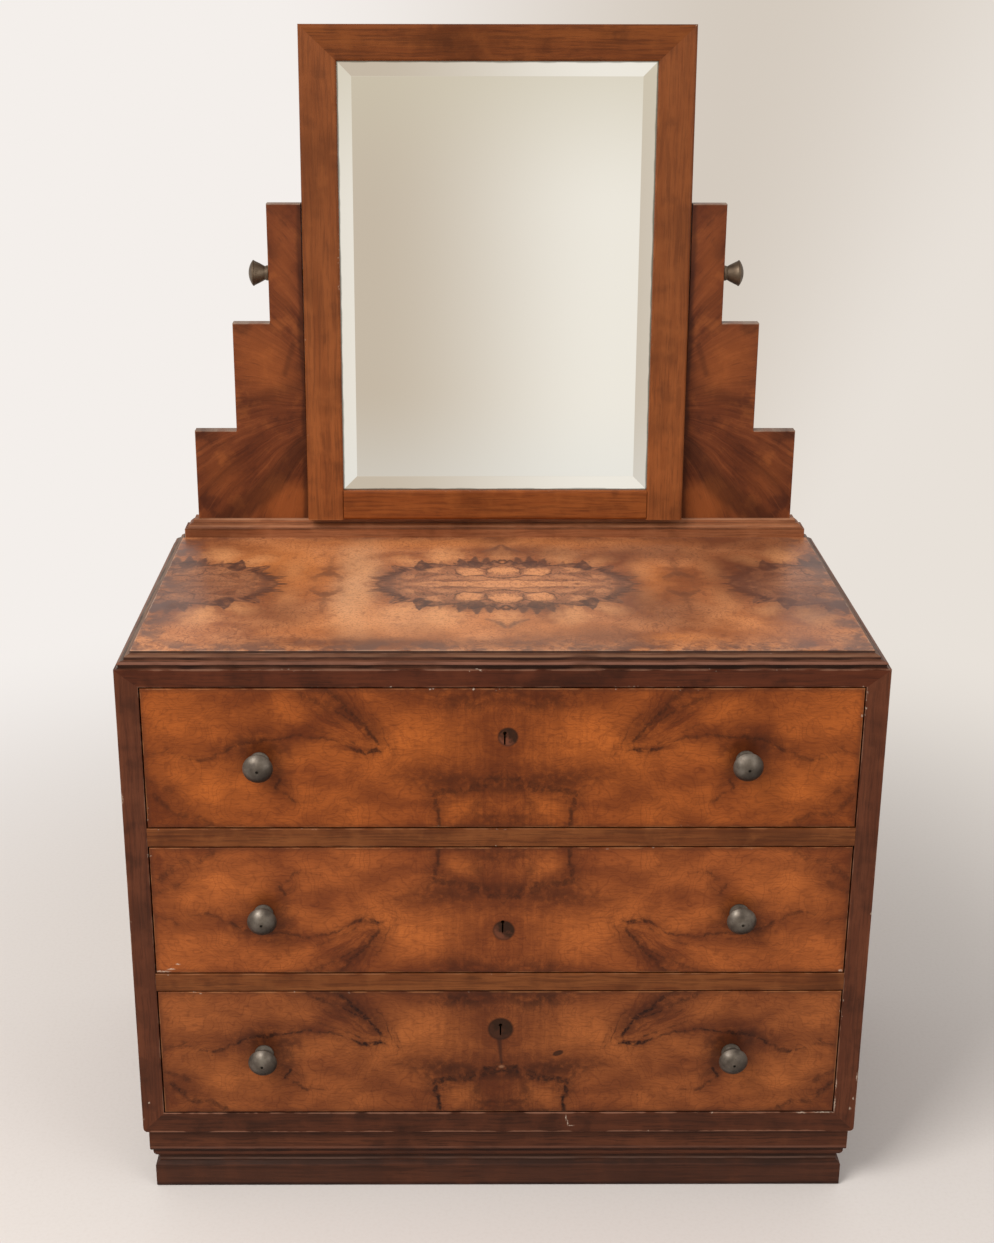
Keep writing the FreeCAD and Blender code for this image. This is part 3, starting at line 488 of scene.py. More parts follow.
@effect_group("book-matched figure", ["Dark", "Shade", "Light", "Swept", "Shadow"], Vector=ORIGIN, Seed=0.0)
def figure(bench, vector, seed):
    leaf = bench.wandered(vector, 7.0, 36.0, seed)
    leaf = bench.wandered(leaf, 3.2, 9.0, seed)
    frayed = bench.wandered(leaf, 1.3, 2.6, seed)
    roaming = bench.wandered(leaf, 16.0, 100.0, seed)
    marks, shades = lay_strokes(bench, frayed, FIGURE_STROKES + CABINET_STROKES)
    breaks = bench.noise(leaf, 11.0, seed, detail=4.0, roughness=0.6)[0]
    crumbs = bench.noise(frayed, 3.4, seed, detail=2.0)[0]
    marks = bench.times(marks, bench.step(breaks, 0.34, 0.58, 0.12, 1.0),
                        bench.step(crumbs, 0.3, 0.6, 0.4, 1.0))
    clouds = bench.times(lay_patches(bench, frayed, FIGURE_PATCHES), bench.step(breaks, 0.36, 0.6, 0.1, 0.7))
    shades = bench.times(shades, bench.step(breaks, 0.3, 0.66, 0.25, 1.0))
    hook = bench.split(bench.vector("SUBTRACT", leaf, (*HOOK, 0.0)))
    angle = bench.times(bench.maths("ARCTAN2", hook["Y"], hook["X"]), HOOK_ARC)
    radius = bench.length(hook["X"], hook["Y"])
    rays = bench.effect(fibre, Vector=bench.point(radius, angle), Reach=(70.0, 7.0, 5.0), Seed=seed)
    arcs = bench.effect(fibre, Vector=bench.point(angle, radius), Reach=(80.0, 5.0, 5.0), Seed=seed)
    outward = bench.times(bench.step(hook["X"], -6.0, 20.0), bench.step(radius, 170.0, 50.0),
                          bench.step(hook["Y"], -30.0, 10.0, 0.15, 1.0))
    inward = bench.times(bench.step(hook["X"], 6.0, -16.0), bench.step(radius, 90.0, 30.0, 0.0, 0.5))
    swept = bench.plus(bench.times(bench.step(rays["Streak"], 0.5, 0.1), outward),
                       bench.times(bench.step(arcs["Streak"], 0.5, 0.1), inward))
    lights = lay_patches(bench, roaming, LIGHT_PATCHES)
    shadows = lay_patches(bench, roaming, SHADOW_PATCHES)
    shadows = bench.times(shadows, bench.step(breaks, 0.26, 0.62, 0.5, 1.0))
    return [bench.maths("MAXIMUM", marks, clouds), shades, lights, swept, shadows]


# The drawers' walnut: light, body, red, dark and the shade about a dark line.
DRAWER_TONES = ((194, 108, 48), (140, 72, 32), (88, 39, 18), (42, 22, 12), (84, 42, 20))
BOOK_MATCH_X = 3.0           # the line that a front's two leaves meet on

# One drawer front: where its leaf starts, which way up it lies, its seed, the middle of its
# keyhole disc, the disc's radius, how far the lower half of the disc has faded, its tint, the
# middles of its knobs and how dark its figure is.
Front = namedtuple("Front", "foot upward seed disc disc_radius fading tint knobs ink")
FRONTS = {
    "top": Front(520.5, 1.0, 1.3, (6.8, 640.8), 12.0, 0.7, (0.83, 0.76, 0.64),
                 ((-289.5, 609.5), (291.0, 611.0)), 1.0),
    "middle": Front(496.5, -1.0, 1.5, (3.8, 381.7), 13.5, 0.6, (0.84, 0.82, 0.88),
                    ((-291.5, 406.0), (293.5, 406.0)), 1.0),
    "bottom": Front(118.5, 1.0, 1.7, (1.0, 241.8), 16.0, 0.15, (0.7, 0.74, 0.93),
                    ((-297.5, 207.0), (293.0, 208.0)), 1.5),
}


def keyhole_disc(bench, front, whole):
    """The disc about a keyhole: (its colour, its mask)."""
    disc = laid_oval(bench, whole, front.disc, (front.disc_radius, front.disc_radius), 0, 0.12)
    offset = bench.vector("SUBTRACT", whole, (*front.disc, 0.0))
    lower = bench.vector("DOT_PRODUCT", offset, (-0.5, -0.86, 0.0))
    uneven = bench.step(bench.noise(whole, 9.0, front.seed)[0], 0.36, 0.64, -4.0, 4.0)
    colour = bench.coats(
        (32, 21, 13),
        ((116, 66, 46), bench.step(bench.plus(lower, uneven), -3.0, 9.0), front.fading),
        ((26, 15, 9), bench.step(disc["Reach"], 0.75, 1.0), 0.7),
    )
    return colour, disc["Mask"]


def damaged(bench, colour, whole, loose):
    """The bottom front's dent, the crack below its keyhole and the loss at the crack's end."""
    return bench.coats(
        colour,
        ((44, 25, 16), laid_oval(bench, whole, (74.0, 206.7), (7.0, 3.6), -22.0, 0.2)["Mask"], 0.85),
        ((48, 26, 18), laid_stroke(bench, loose, (0.0, 226.0), (2.0, 192.0), 1.2, 3.0, 1.0)["Mask"], 0.7),
        ((150, 108, 80), laid_oval(bench, loose, (1.5, 187.0), (3.4, 2.0), 0, 0.6)["Mask"], 0.6),
    )


def figured_front(name, front):
    node = name + "_drawer_front"
    seed = front.seed
    material, bench, surface, place = new_finish(f"figured walnut on the {name} drawer")
    low, high = box_in_millimetres(node)
    parts = bench.split(place)
    out = bench.maths("ABSOLUTE", bench.minus(parts["X"], BOOK_MATCH_X))
    up = bench.times(bench.minus(parts["Z"], front.foot), front.upward)
    whole = bench.point(parts["X"], parts["Z"])
    loose = bench.wandered(whole, 7.0, 70.0, seed)
    leaf = bench.vector("ADD", bench.point(out, up), bench.vector("SUBTRACT", loose, whole))
    marks = bench.effect(figure, Vector=leaf, Seed=seed)
    growth = bench.effect(rings, Vector=leaf, Size=80.0, Swirl=40.0, Lines=26.0, Seed=seed)
    mottle = bench.effect(rings, Vector=bench.vector("MULTIPLY", leaf, (0.55, 1.0, 1.0)), Size=24.0,
                          Swirl=18.0, Lines=7.0, Seed=seed + 4.0)
    cloud = bench.noise(whole, 120.0, seed, detail=4.0, roughness=0.6)[0]
    ripple = bench.effect(fibre, Vector=bench.point(up, out), Reach=(60.0, 4.0, 4.0), Seed=seed)
    rippled = bench.times(ripple["Streak"], bench.step(out, 150.0, 20.0, 0.2, 1.0))
    silk = bench.effect(fibre, Vector=bench.wandered(leaf, 9.0, 50.0, seed), Reach=(22.0, 1.1, 1.0),
                        Seed=seed + 2.0)
    # Painted shadow of each knob, falling low and to its right, with hand grime about it.
    painted_shade = [laid_oval(bench, loose, (x + 4.0, z - 3.0), (25.0, 24.0), 0, 0.7)["Mask"]
             for x, z in front.knobs]
    knots = bench.effect(specks, Vector=whole, Spacing=30.0, Size=1.6, Seed=seed)["Mask"]
    disc, disc_mask = keyhole_disc(bench, front, whole)
    light, body, red, dark, shade = (tinted(tone(*wood), front.tint) for wood in DRAWER_TONES)
    colour = bench.coats(
        body,
        (light, growth["Field"], 0.5),
        (red, bench.step(cloud, 0.56, 0.34), 0.75),
        (light, marks["Light"], 0.75),
        (red, mottle["Field"], 0.42),
        (red, rippled, 0.42),
        (red, growth["Line"], 0.35),
        (light, marks["Light"], 0.25),
        (red, marks["Shadow"], 0.8),
        (red, marks["Swept"], 0.5),
        # the painted knob shadows, with grime
        *((dark, knob_shadow, 0.45) for knob_shadow in painted_shade),
        (shade, marks["Shade"], 0.55),
        (red, bench.times(mottle["Line"], marks["Shade"]), 0.5),
        (dark, marks["Dark"], 0.85 * front.ink),
        (red, bench.step(silk["Streak"], 0.4, 1.0), 0.35),
        (dark, silk["Pore"], 0.22),
        (dark, knots, 0.6),
        (disc, disc_mask, 0.9),
    )
    if name == "bottom":
        colour = damaged(bench, colour, whole, loose)
    wear = bench.effect(worn_edge, Vector=place, Low=low, High=high, Reach=2.2, Seed=seed)
    colour = bench.coats(
        colour,
        ((64, 34, 20), bench.step(wear["Distance"], 7.0, 0.5), 0.4),
        ((176, 118, 74), wear["Rub"], 0.4),
        (PALE_CHIP, wear["Chip"], 0.6),
    )
    if name == "middle":
        colour = knocked(bench, colour, place, low[1], MIDDLE_FRONT_KNOCKS)
    polish(bench, surface, colour, bench.step(cloud, 0.3, 0.7, 0.38, 0.5), silk["Streak"], relief=0.0001)
    clothe(node, material)


# ---- burr veneer of the top
TOP_HEIGHT = 744.0
# The middle medallion's place, the distance from one medallion to the next, and half its
# length and depth.
MATCH_X = 8.0
MATCH_Y = 20.0
MATCH_PERIOD = 462.0
MEDALLION = (178.0, 91.0, 1.0)
# The figure of one quarter leaf: millimetres out and deep from the middle of the medallion.
BURR_TEETH = (
    ((106, 70), (110, 102), 13.0, 2.5, 1.0), ((38, 80), (36, 120), 10.0, 3.0, 0.9),
    ((22, 82), (20, 114), 8.0, 3.0, 0.8), ((55, 80), (58, 110), 7.0, 3.0, 0.8),
    ((138, 52), (150, 76), 6.0, 2.5, 0.8), ((80, 78), (84, 96), 5.0, 2.5, 0.6),
    ((12, 150), (2, 168), 2.0, 6.0, 0.5), ((24, 140), (12, 150), 1.0, 5.0, 0.4),
)
BURR_BLOTCHES = (
    ((36, 92), (34, 15), 0, 0.7, 0.8), ((106, 80), (18, 14), 0, 0.7, 0.6),
    ((150, 24), (20, 40), 0, 0.7, 0.85), ((78, 78), (30, 9), 14, 0.7, 0.5),
    ((64, 66), (26, 10), 0, 0.8, 0.4), ((122, 52), (20, 10), 30, 0.8, 0.5),
)
BURR_SCALLOPS = (
    ((0, 22), (14, 27), 0.6, 2.0, 0.9), ((14, 27), (32, 36), 0.6, 2.0, 0.9),
    ((32, 36), (46, 28), 0.6, 2.0, 0.85), ((46, 28), (64, 42), 0.5, 2.0, 0.8),
    ((64, 42), (62, 62), 0.5, 2.0, 0.7), ((26, 40), (24, 66), 0.4, 2.2, 0.7),
    ((24, 66), (8, 74), 0.4, 2.2, 0.7), ((28, 64), (44, 70), 0.4, 2.2, 0.7),
    ((0, 84), (9, 92), 0.8, 2.2, 0.9), ((9, 92), (0, 102), 0.8, 2.2, 0.9),
    ((14, 10), (60, 14), 0.3, 2.0, 0.5), ((60, 14), (108, 9), 0.3, 2.0, 0.5),
    ((72, 40), (100, 46), 0.4, 3.0, 0.5), ((100, 46), (112, 30), 0.4, 3.0, 0.5),
)
BURR_PETALS = (
    ((0, 54), (21, 17), 0, 0.3, 1.0), ((45, 50), (14, 18), -12, 0.35, 0.95),
    ((0, 3), (110, 8), 0, 0.5, 0.9), ((88, 58), (14, 7), 20, 0.5, 0.5),
    ((122, 28), (12, 8), 0, 0.6, 0.4), ((80, 26), (12, 5), 0, 0.6, 0.4),
    ((30, 22), (26, 7), 0, 0.6, 0.5),
)
BURR_FLAMES = (
    ((84, 118), (15, 34), -8, 0.7, 1.0), ((66, 130), (10, 30), 0, 0.7, 0.7),
    ((130, 100), (16, 26), 30, 0.8, 0.9), ((8, 134), (10, 26), 0, 0.8, 0.8),
    ((182, 60), (14, 40), 0, 0.9, 0.5),
)
RING_STROKES = (
    ((231, 40), (231, 66), 7.0, 3.0, 0.8), ((224, 40), (214, 26), 2.0, 4.0, 0.6),
    ((214, 26), (213, 6), 0.8, 4.0, 0.4), ((231, 62), (231, 110), 1.0, 4.0, 0.4),
)

# Glowing patches, a painted sheen (a painted reflection of a window) and shaded patches, by their places on
# the whole top.
TOP_GLOWS = (
    ((219, -188), (36, 15), 0, 0.8, 1.0), ((-285, 105), (80, 95), 0, 0.9, 1.0),
    ((-60, 200), (220, 22), 0, 0.9, 0.7), ((-117, -136), (110, 50), 0, 0.9, 0.9),
    ((205, 53), (20, 70), 0, 0.9, 0.7), ((313, -140), (55, 45), 0, 0.9, 0.6),
    ((424, 79), (16, 45), 0, 0.9, 0.9), ((60, -150), (70, 34), 0, 0.9, 0.6),
)
TOP_PAINTED_SHEEN = (((-184, 20), (26, 170), 0, 0.9, 1.0), ((-120, -120), (60, 40), 0, 0.9, 0.5))
TOP_SHADOWS = (
    ((320, 60), (45, 100), 0, 0.9, 1.0), ((209, -84), (50, 65), 0, 0.9, 0.9),
    ((-120, -205), (170, 15), 0, 0.9, 0.9), ((65, 160), (85, 24), 0, 0.9, 0.9),
    ((190, 150), (130, 34), 0, 0.9, 0.9), ((392, -58), (45, 70), 0, 0.9, 1.0),
    ((-425, -80), (26, 70), 0, 0.9, 0.8), ((110, -180), (80, 22), 0, 0.9, 0.6),
    ((4, 214), (26, 26), 0, 0.9, 0.9), ((-278, -90), (46, 46), 0, 0.9, 0.7),
    ((360, 190), (110, 50), 0, 0.9, 0.8), ((-400, 10), (60, 60), 0, 0.9, 0.6),
)


def medallion(bench, loose, breaks):
    """Masks of a medallion: its inside, its rim, the dark tips within its edge, the teeth beyond
    it, and the lines that echo the edge, those inside and those about it."""
    # The edge runs in teeth, deeper before and behind than at the ends.
    oval = bench.split(bench.vector("DIVIDE", loose, MEDALLION))
    bearing = bench.maths("ARCTAN2", oval["Y"], oval["X"])
    tooth, nick = (bench.node("TexVoronoi", {"W": bearing, "Scale": scale}, voronoi_dimensions="1D")
                   .outputs["Distance"] for scale in (6.0, 19.0))
    bite = bench.times(tooth, bench.step(bearing, 0.1, 1.3, 0.07, 0.4))
    limit = bench.plus(bench.plus(bite, 0.9), bench.times(nick, 0.1))
    within = bench.minus(limit, bench.length(oval["X"], oval["Y"]))
    teeth = lay_strokes(bench, loose, BURR_TEETH, taper=1.0)[0]
    inside = bench.maths("MAXIMUM", bench.step(within, -0.01, 0.015), teeth)
    rim = bench.band(within, 0.0, 0.02, 0.025)
    tips = bench.times(bench.step(within, 0.2, 0.03), bench.step(within, -0.01, 0.015),
                       bench.step(tooth, 0.12, 0.4))
    waves = bench.plus(bench.times(within, 7.0), bench.times(breaks, 1.2))
    echo = bench.step(bench.maths("PINGPONG", waves, 0.5), 0.14, 0.0)
    outer_echo = bench.times(echo, bench.step(within, -0.6, -0.05))
    return inside, rim, tips, teeth, bench.times(echo, inside), outer_echo


def burr_top():
    material, bench, surface, place = new_finish("burr walnut on the top")
    low, high = box_in_millimetres("top_board")
    parts = bench.split(place)
    whole = bench.point(parts["X"], parts["Y"])
    half = MATCH_PERIOD / 2.0
    run = bench.maths("FLOORED_MODULO", bench.minus(parts["X"], MATCH_X - half), MATCH_PERIOD)
    out = bench.maths("ABSOLUTE", bench.minus(run, half))
    deep = bench.maths("ABSOLUTE", bench.minus(parts["Y"], MATCH_Y))
    uneven = bench.vector("SUBTRACT", bench.wandered(whole, 5.0, 90.0, 7.0), whole)
    leaf = bench.vector("ADD", bench.point(out, deep), uneven)
    loose = bench.wandered(leaf, 6.0, 34.0, 3.1)
    loose = bench.wandered(loose, 2.6, 11.0, 3.4)
    loose = bench.wandered(loose, 1.0, 3.4, 3.7)
    ragged = bench.wandered(loose, 12.0, 17.0, 5.2)
    roaming = bench.wandered(whole, 22.0, 110.0, 1.0)
    breaks = bench.noise(loose, 12.0, 8.0, detail=4.0, roughness=0.6)[0]
    inside, rim, tips, teeth, inner_echo, outer_echo = medallion(bench, loose, breaks)
    blotches = bench.times(lay_patches(bench, loose, BURR_BLOTCHES), bench.step(breaks, 0.3, 0.62))
    # The petals fade on the outer medallions.
    petals = bench.times(lay_patches(bench, ragged, BURR_PETALS),
                         bench.step(bench.maths("ABSOLUTE", parts["X"]), 280.0, 240.0, 0.25, 1.0))
    ring_marks, ring_shade = lay_strokes(bench, ragged, RING_STROKES)
    lace = bench.effect(rings, Vector=loose, Size=20.0, Swirl=12.0, Lines=7.0, Seed=2.2)
    curls = bench.effect(rings, Vector=leaf, Size=44.0, Swirl=22.0, Lines=14.0, Seed=6.2)
    plain = bench.effect(rings, Vector=leaf, Size=110.0, Swirl=60.0, Lines=9.0, Seed=1.0)
    cloud = bench.noise(whole, 130.0, 4.0, detail=4.0, roughness=0.58)[0]
    shadows = bench.times(lay_patches(bench, roaming, TOP_SHADOWS), bench.step(breaks, 0.25, 0.6, 0.55, 1.0))
    freckle = bench.noise(whole, 2.6, 7.0, detail=3.0)[0]
    eyes = bench.effect(specks, Vector=loose, Spacing=20.0, Size=2.6, Seed=2.0)["Mask"]
    wear = bench.effect(worn_edge, Vector=place, Low=low, High=high, Reach=3.0, Seed=8.0)
    edge_cloud = bench.noise(whole, 34.0, 2.0, detail=4.0, roughness=0.6)[0]
    smudge = bench.times(bench.step(wear["Distance"], 60.0, 2.0), bench.step(edge_cloud, 0.42, 0.58))
    colour = bench.coats(
        (164, 98, 58),
        ((198, 132, 86), plain["Field"], 0.8),
        ((116, 62, 38), bench.step(cloud, 0.56, 0.36), 0.8),
        ((112, 64, 42), curls["Line"], 0.6),
        ((118, 70, 46), outer_echo, 0.5),
        ((208, 128, 68), lay_patches(bench, roaming, TOP_GLOWS), 0.55),
        # painted reflection: a pale sheen strip on the polish
        ((222, 170, 124), lay_patches(bench, roaming, TOP_PAINTED_SHEEN), 0.5),
        ((214, 148, 96), lay_patches(bench, ragged, BURR_FLAMES), 0.65),
        ((122, 70, 44), bench.step(breaks, 0.5, 0.3), 0.4),
        ((138, 88, 62), inside, bench.step(breaks, 0.3, 0.62, 0.5, 0.9)),
        ((184, 124, 86), bench.times(inside, lace["Field"]), 0.45),
        ((84, 54, 42), bench.times(lace["Line"], inside), 0.7),
        ((92, 60, 46), inner_echo, 0.5),
        ((84, 56, 46), blotches, 0.75),
        ((82, 54, 44), tips, bench.step(breaks, 0.26, 0.6, 0.1, 0.8)),
        ((76, 49, 38), rim, bench.step(breaks, 0.26, 0.55, 0.35, 0.9)),
        ((74, 49, 41), teeth, bench.step(breaks, 0.26, 0.6, 0.25, 0.85)),
        ((212, 144, 94), petals, 0.82),
        ((144, 88, 58), bench.times(lace["Line"], petals), 0.6),
        ((74, 47, 36), lay_strokes(bench, ragged, BURR_SCALLOPS)[0], 0.9),
        ((128, 80, 54), ring_shade, 0.4),
        ((100, 62, 44), ring_marks, bench.step(breaks, 0.3, 0.6, 0.2, 0.8)),
        ((92, 52, 37), shadows, 0.74),
        ((112, 62, 38), bench.step(freckle, 0.48, 0.7), 0.45),
        ((72, 42, 30), eyes, 0.7),
        ((90, 62, 54), smudge, 0.8),
        ((190, 154, 128), wear["Rub"], 0.5),
        # Painted shade on the board's edges, just below its face.
        ((50, 30, 22), bench.step(parts["Z"], TOP_HEIGHT - 0.1, TOP_HEIGHT - 0.7), 0.92),
    )
    polish(bench, surface, colour, bench.step(cloud, 0.3, 0.7, 0.34, 0.48), freckle, relief=0.0001, coat=0.04,
           shine=0.2)
    clothe("top_board", material)


# ---- feathered veneer of the supports
# The feather fans out from a foot, by millimetres out from the middle of the chest and up.
FAN_OUT = 208.0
FAN_UP = 917.0
FAN_BEND = 0.0016            # radians that it turns in a millimetre outwards
FAN_ARC = 120.0              # how many millimetres of fibre a radian takes up
SUPPORT_FRONT = 243.5
SUPPORT_FOOT = 700.0
# The steps of a support from the outermost: its inner and outer edges and its head.
SUPPORT_STEPS = ((359.5, 417.7, 893.8), (308.4, 359.5, 1044.0), (262.3, 308.4, 1204.0))
SUPPORT_LIGHTS = (
    ((318, 990), (36, 46), 30, 0.7, 0.8), ((290, 788), (44, 28), 0, 0.6, 1.0),
    ((385, 830), (26, 26), 0, 0.8, 0.4), ((290, 1120), (16, 60), 0, 0.8, 0.5),
)
# Dark figure strokes on a support; the one up the inner edge at 263 mm is a painted shadow of the gap beside
# the mirror.
SUPPORT_DARKS = (
    ((268, 872), (298, 832), 8.0, 12.0, 0.75), ((298, 832), (376, 764), 9.0, 16.0, 0.75),
    ((263, 1204), (263, 760), 2.5, 6.0, 0.85), ((276, 1015), (290, 975), 1.0, 6.0, 0.45),
    ((362, 1046), (344, 1038), 3.0, 12.0, 0.6), ((420, 896), (396, 892), 4.0, 14.0, 0.6),
    ((330, 885), (410, 800), 1.0, 12.0, 0.25), ((270, 960), (350, 930), 2.0, 14.0, 0.35),
)


def worn_steps(bench, out, parts):
    """Masks of a support's steps: their rubbed arrises, and the ledges at their heads."""
    arrises = []
    ledges = []
    foot = SUPPORT_FOOT
    for inner, outer, head in SUPPORT_STEPS:
        wear = bench.effect(worn_edge, Vector=bench.point(out, parts["Y"], parts["Z"]),
                            Low=(200.0, SUPPORT_FRONT, 400.0), High=(outer, 400.0, head), Reach=2.0,
                            Seed=foot / 100.0)
        on_step = bench.times(bench.step(parts["Z"], foot, foot + 1.0), bench.step(out, inner, inner + 1.0),
                              bench.maths("LESS_THAN", parts["Z"], head + 0.5))
        arrises.append(bench.times(wear["Rub"], on_step))
        ledges.append(bench.times(bench.step(parts["Z"], head - 1.6, head - 0.6), on_step))
        foot = head + 3.0
    return bench.largest(arrises), bench.largest(ledges)


def feathered_support(side):
    material, bench, surface, place = new_finish("feathered walnut on the " + side + " support")
    parts = bench.split(place)
    out = bench.maths("ABSOLUTE", parts["X"])
    leaf = bench.wandered(bench.point(out, parts["Z"]), 7.0, 60.0, 2.0)
    offset = bench.split(bench.vector("SUBTRACT", leaf, (FAN_OUT, FAN_UP, 0.0)))
    angle = bench.maths("ARCTAN2", offset["Y"], offset["X"])
    radius = bench.length(offset["X"], offset["Y"])
    swept = bench.plus(angle, bench.times(radius, FAN_BEND))
    fan = bench.point(radius, bench.times(swept, FAN_ARC))
    feather = bench.effect(fibre, Vector=fan, Reach=(110.0, 5.0, 5.0), Seed=1.0)
    broad = bench.effect(fibre, Vector=fan, Reach=(190.0, 22.0, 20.0), Seed=5.0)
    cloud = bench.noise(leaf, 46.0, 6.0, detail=4.0, roughness=0.6)[0]
    arrises, ledges = worn_steps(bench, out, parts)
    colour = bench.coats(
        (86, 41, 22),
        ((119, 63, 34), broad["Streak"], 0.7),
        ((138, 76, 38), bench.step(cloud, 0.5, 0.66), 0.6),
        ((56, 26, 18), bench.step(cloud, 0.48, 0.32), 0.65),
        ((56, 25, 15), bench.step(feather["Streak"], 0.5, 0.0), 0.42),
        ((136, 74, 40), bench.step(feather["Streak"], 0.66, 1.0), 0.32),
        ((148, 80, 38), lay_patches(bench, leaf, SUPPORT_LIGHTS), 0.6),
        ((44, 22, 14), lay_strokes(bench, leaf, SUPPORT_DARKS)[0], 0.7),
        ((60, 32, 22), feather["Pore"], 0.35),
        ((150, 100, 70), arrises, 0.6),
        ((138, 118, 102), ledges, bench.step(cloud, 0.35, 0.6, 0.2, 0.8)),
    )
    polish(bench, surface, colour, 0.45, feather["Streak"])
    clothe("mirror_support_" + side, material)


# ---- plain woods inside and behind
def plain_wood(node, body, dark, axis, seed, spacing=7.0):
    """Planed, unfinished wood."""
    material, bench, surface, place = new_finish("bare wood on " + node.replace("_", " "))
    grain = bench.wandered(along(bench, place, axis), 6.0, 180.0, seed)
    fine = bench.effect(fibre, Vector=grain, Reach=(260.0, spacing, spacing), Seed=seed)
    blotch = bench.noise(place, 160.0, seed)[0]
    colour = bench.coats(
        body,
        (dark, bench.step(fine["Streak"], 0.6, 0.0), 0.6),
        (dark, bench.step(blotch, 0.5, 0.3), 0.5),
    )
    principled(bench, surface, {"Base Color": colour, "Roughness": 0.72})
    clothe(node, material)


# ---- metal and glass
def weathered_metal(name, body, light, dark, seed, metallic=0.85, roughness=0.42, knob=None):
    """Dull metal. Knob is the middle of a knob's face, (x, z): its lower half, towards the lower right, is
    painted dark as shade.
    """
    material, bench, surface, place = new_finish(name)
    cloud = bench.noise(place, 14.0, seed, detail=3.0)[0]
    fleck = bench.noise(place, 2.2, seed, detail=3.0)[0]
    colour = bench.coats(
        body,
        (light, bench.step(cloud, 0.45, 0.68), 0.5),
        (dark, bench.step(cloud, 0.48, 0.3), 0.5),
        (dark, bench.step(fleck, 0.58, 0.72), 0.3),
    )
    # Painted shade: the knob's lower right half is drawn dark, as if lit from the upper left.
    if knob:
        parts = bench.split(place)
        offset = bench.point(bench.minus(parts["X"], knob[0]), bench.minus(parts["Z"], knob[1]))
        lower = bench.vector("DOT_PRODUCT", offset, (0.42, -0.9, 0.0))
        colour = bench.stain(colour, dark, bench.step(lower, -8.0, 15.0), 0.9)
    bump = bench.node("Bump", {"Height": fleck, "Distance": 0.0001, "Strength": 0.4})
    rough = bench.step(cloud, 0.3, 0.7, roughness + 0.12, roughness)
    principled(bench, surface, {"Base Color": colour, "Metallic": metallic, "Roughness": rough,
                                "Normal": bump.outputs["Normal"]})
    return material


# The glass where the mirror hangs upright, in millimetres.
GLASS_HALF_WIDTH = 217.3
GLASS_FOOT = 807.0
GLASS_HEAD = 1392.0
BEVEL_WIDTH = 25.0
BEVEL_SLOPE = 0.185


def silvered_glass():
    """Silvered plate glass. Seen through its bevel, the silvering seems to face inwards."""
    material, bench, surface, place = new_finish("silvered glass")
    upright = hung_upright(bench, place)
    parts = bench.split(upright)
    from_side = bench.minus(GLASS_HALF_WIDTH, bench.maths("ABSOLUTE", parts["X"]))
    from_head = bench.minus(GLASS_HEAD, parts["Z"])
    from_foot = bench.minus(parts["Z"], GLASS_FOOT)
    from_edge = bench.maths("MINIMUM", from_side, bench.maths("MINIMUM", from_head, from_foot))
    into_bevel = bench.maths("MAXIMUM", bench.minus(BEVEL_WIDTH, from_edge), 0.0)
    rise = bench.times(into_bevel, BEVEL_SLOPE)
    bump = bench.node("Bump", {"Height": rise, "Distance": 0.001, "Strength": 1.0})
    # Painted shadow of the frame's inner edge: a dark line on the glass just inside the sight edge, wavering
    # in width.
    shade_wobble = bench.noise(upright, 30.0, 2.0, detail=3.0)[0]
    painted_shade = bench.step(from_edge, bench.step(shade_wobble, 0.3, 0.7, 7.6, 9.2), 6.4)
    colour = bench.stain((0.93, 0.935, 0.92, 1.0), (84, 86, 72), painted_shade, 0.8)
    principled(bench, surface, {"Base Color": colour, "Metallic": 1.0, "Roughness": 0.015,
                                "Normal": bump.outputs["Normal"]})
    return material


# ---- dressing the pieces
# The mirror's frame where it hangs upright: its outer and inner half widths, front, back,
# foot and head.
FRAME_OUT = 261.3
FRAME_IN = 211.3
FRAME_FRONT = 237.5
FRAME_BACK = 259.5
FRAME_FOOT = 771.2
FRAME_HEAD = 1432.4


def frame_box(left, right, foot=FRAME_FOOT, head=FRAME_HEAD):
    """The corners of a member of the mirror's frame."""
    return (left, FRAME_FRONT, foot), (right, FRAME_BACK, head)


STILE_BOXES = {"left": frame_box(-FRAME_OUT, -FRAME_IN), "right": frame_box(FRAME_IN, FRAME_OUT)}
for side, seed in (("left", 1.0), ("right", 2.0)):
    straight_walnut("front_stile_" + side, STILE_WALNUT, "Z", seed, edge=1.8, contrast=0.4,
                    knocks=STILE_KNOCKS[side])
    straight_walnut("side_panel_" + side, SIDE_WALNUT, "Z", seed + 4.0, edge=2.0, spacing=7.0, contrast=0.75)
    straight_walnut("top_moulding_" + side, SIDE_MOULDING_PAINTED_SHEEN[side], "Y", seed + 6.0, edge=2.5,
                    lines=TOP_MOULDING_LIGHT_AND_SHADE)
    straight_walnut("plinth_" + side, PLINTH_WALNUT, "Y", seed + 8.0, edge=1.5, lines=PLINTH_LIGHT_AND_SHADE)
    # The mirror's stiles get painted shade, darker towards their heads.
    straight_walnut("mirror_stile_" + side, MIRROR_STILE_WALNUT, "Z", seed + 10.0, edge=2.2, chips=0.4,
                    contrast=0.4, box=STILE_BOXES[side], shade=("Z", 860.0, 1160.0, 0.36))
    feathered_support(side)
straight_walnut("front_top_rail", HEAD_RAIL_WALNUT, "X", 21.0, edge=1.8, contrast=0.4)
straight_walnut("front_bottom_rail", FOOT_RAIL_SHADED_WALNUT, "X", 22.0, edge=3.0, contrast=0.4,
                knocks=FOOT_RAIL_KNOCKS)
straight_walnut("divider_rail_upper", RAIL_WALNUT, "X", 23.0, edge=1.6, spacing=2.4, contrast=0.5)
straight_walnut("divider_rail_lower", RAIL_WALNUT, "X", 24.0, edge=1.6, spacing=2.4, contrast=0.5)
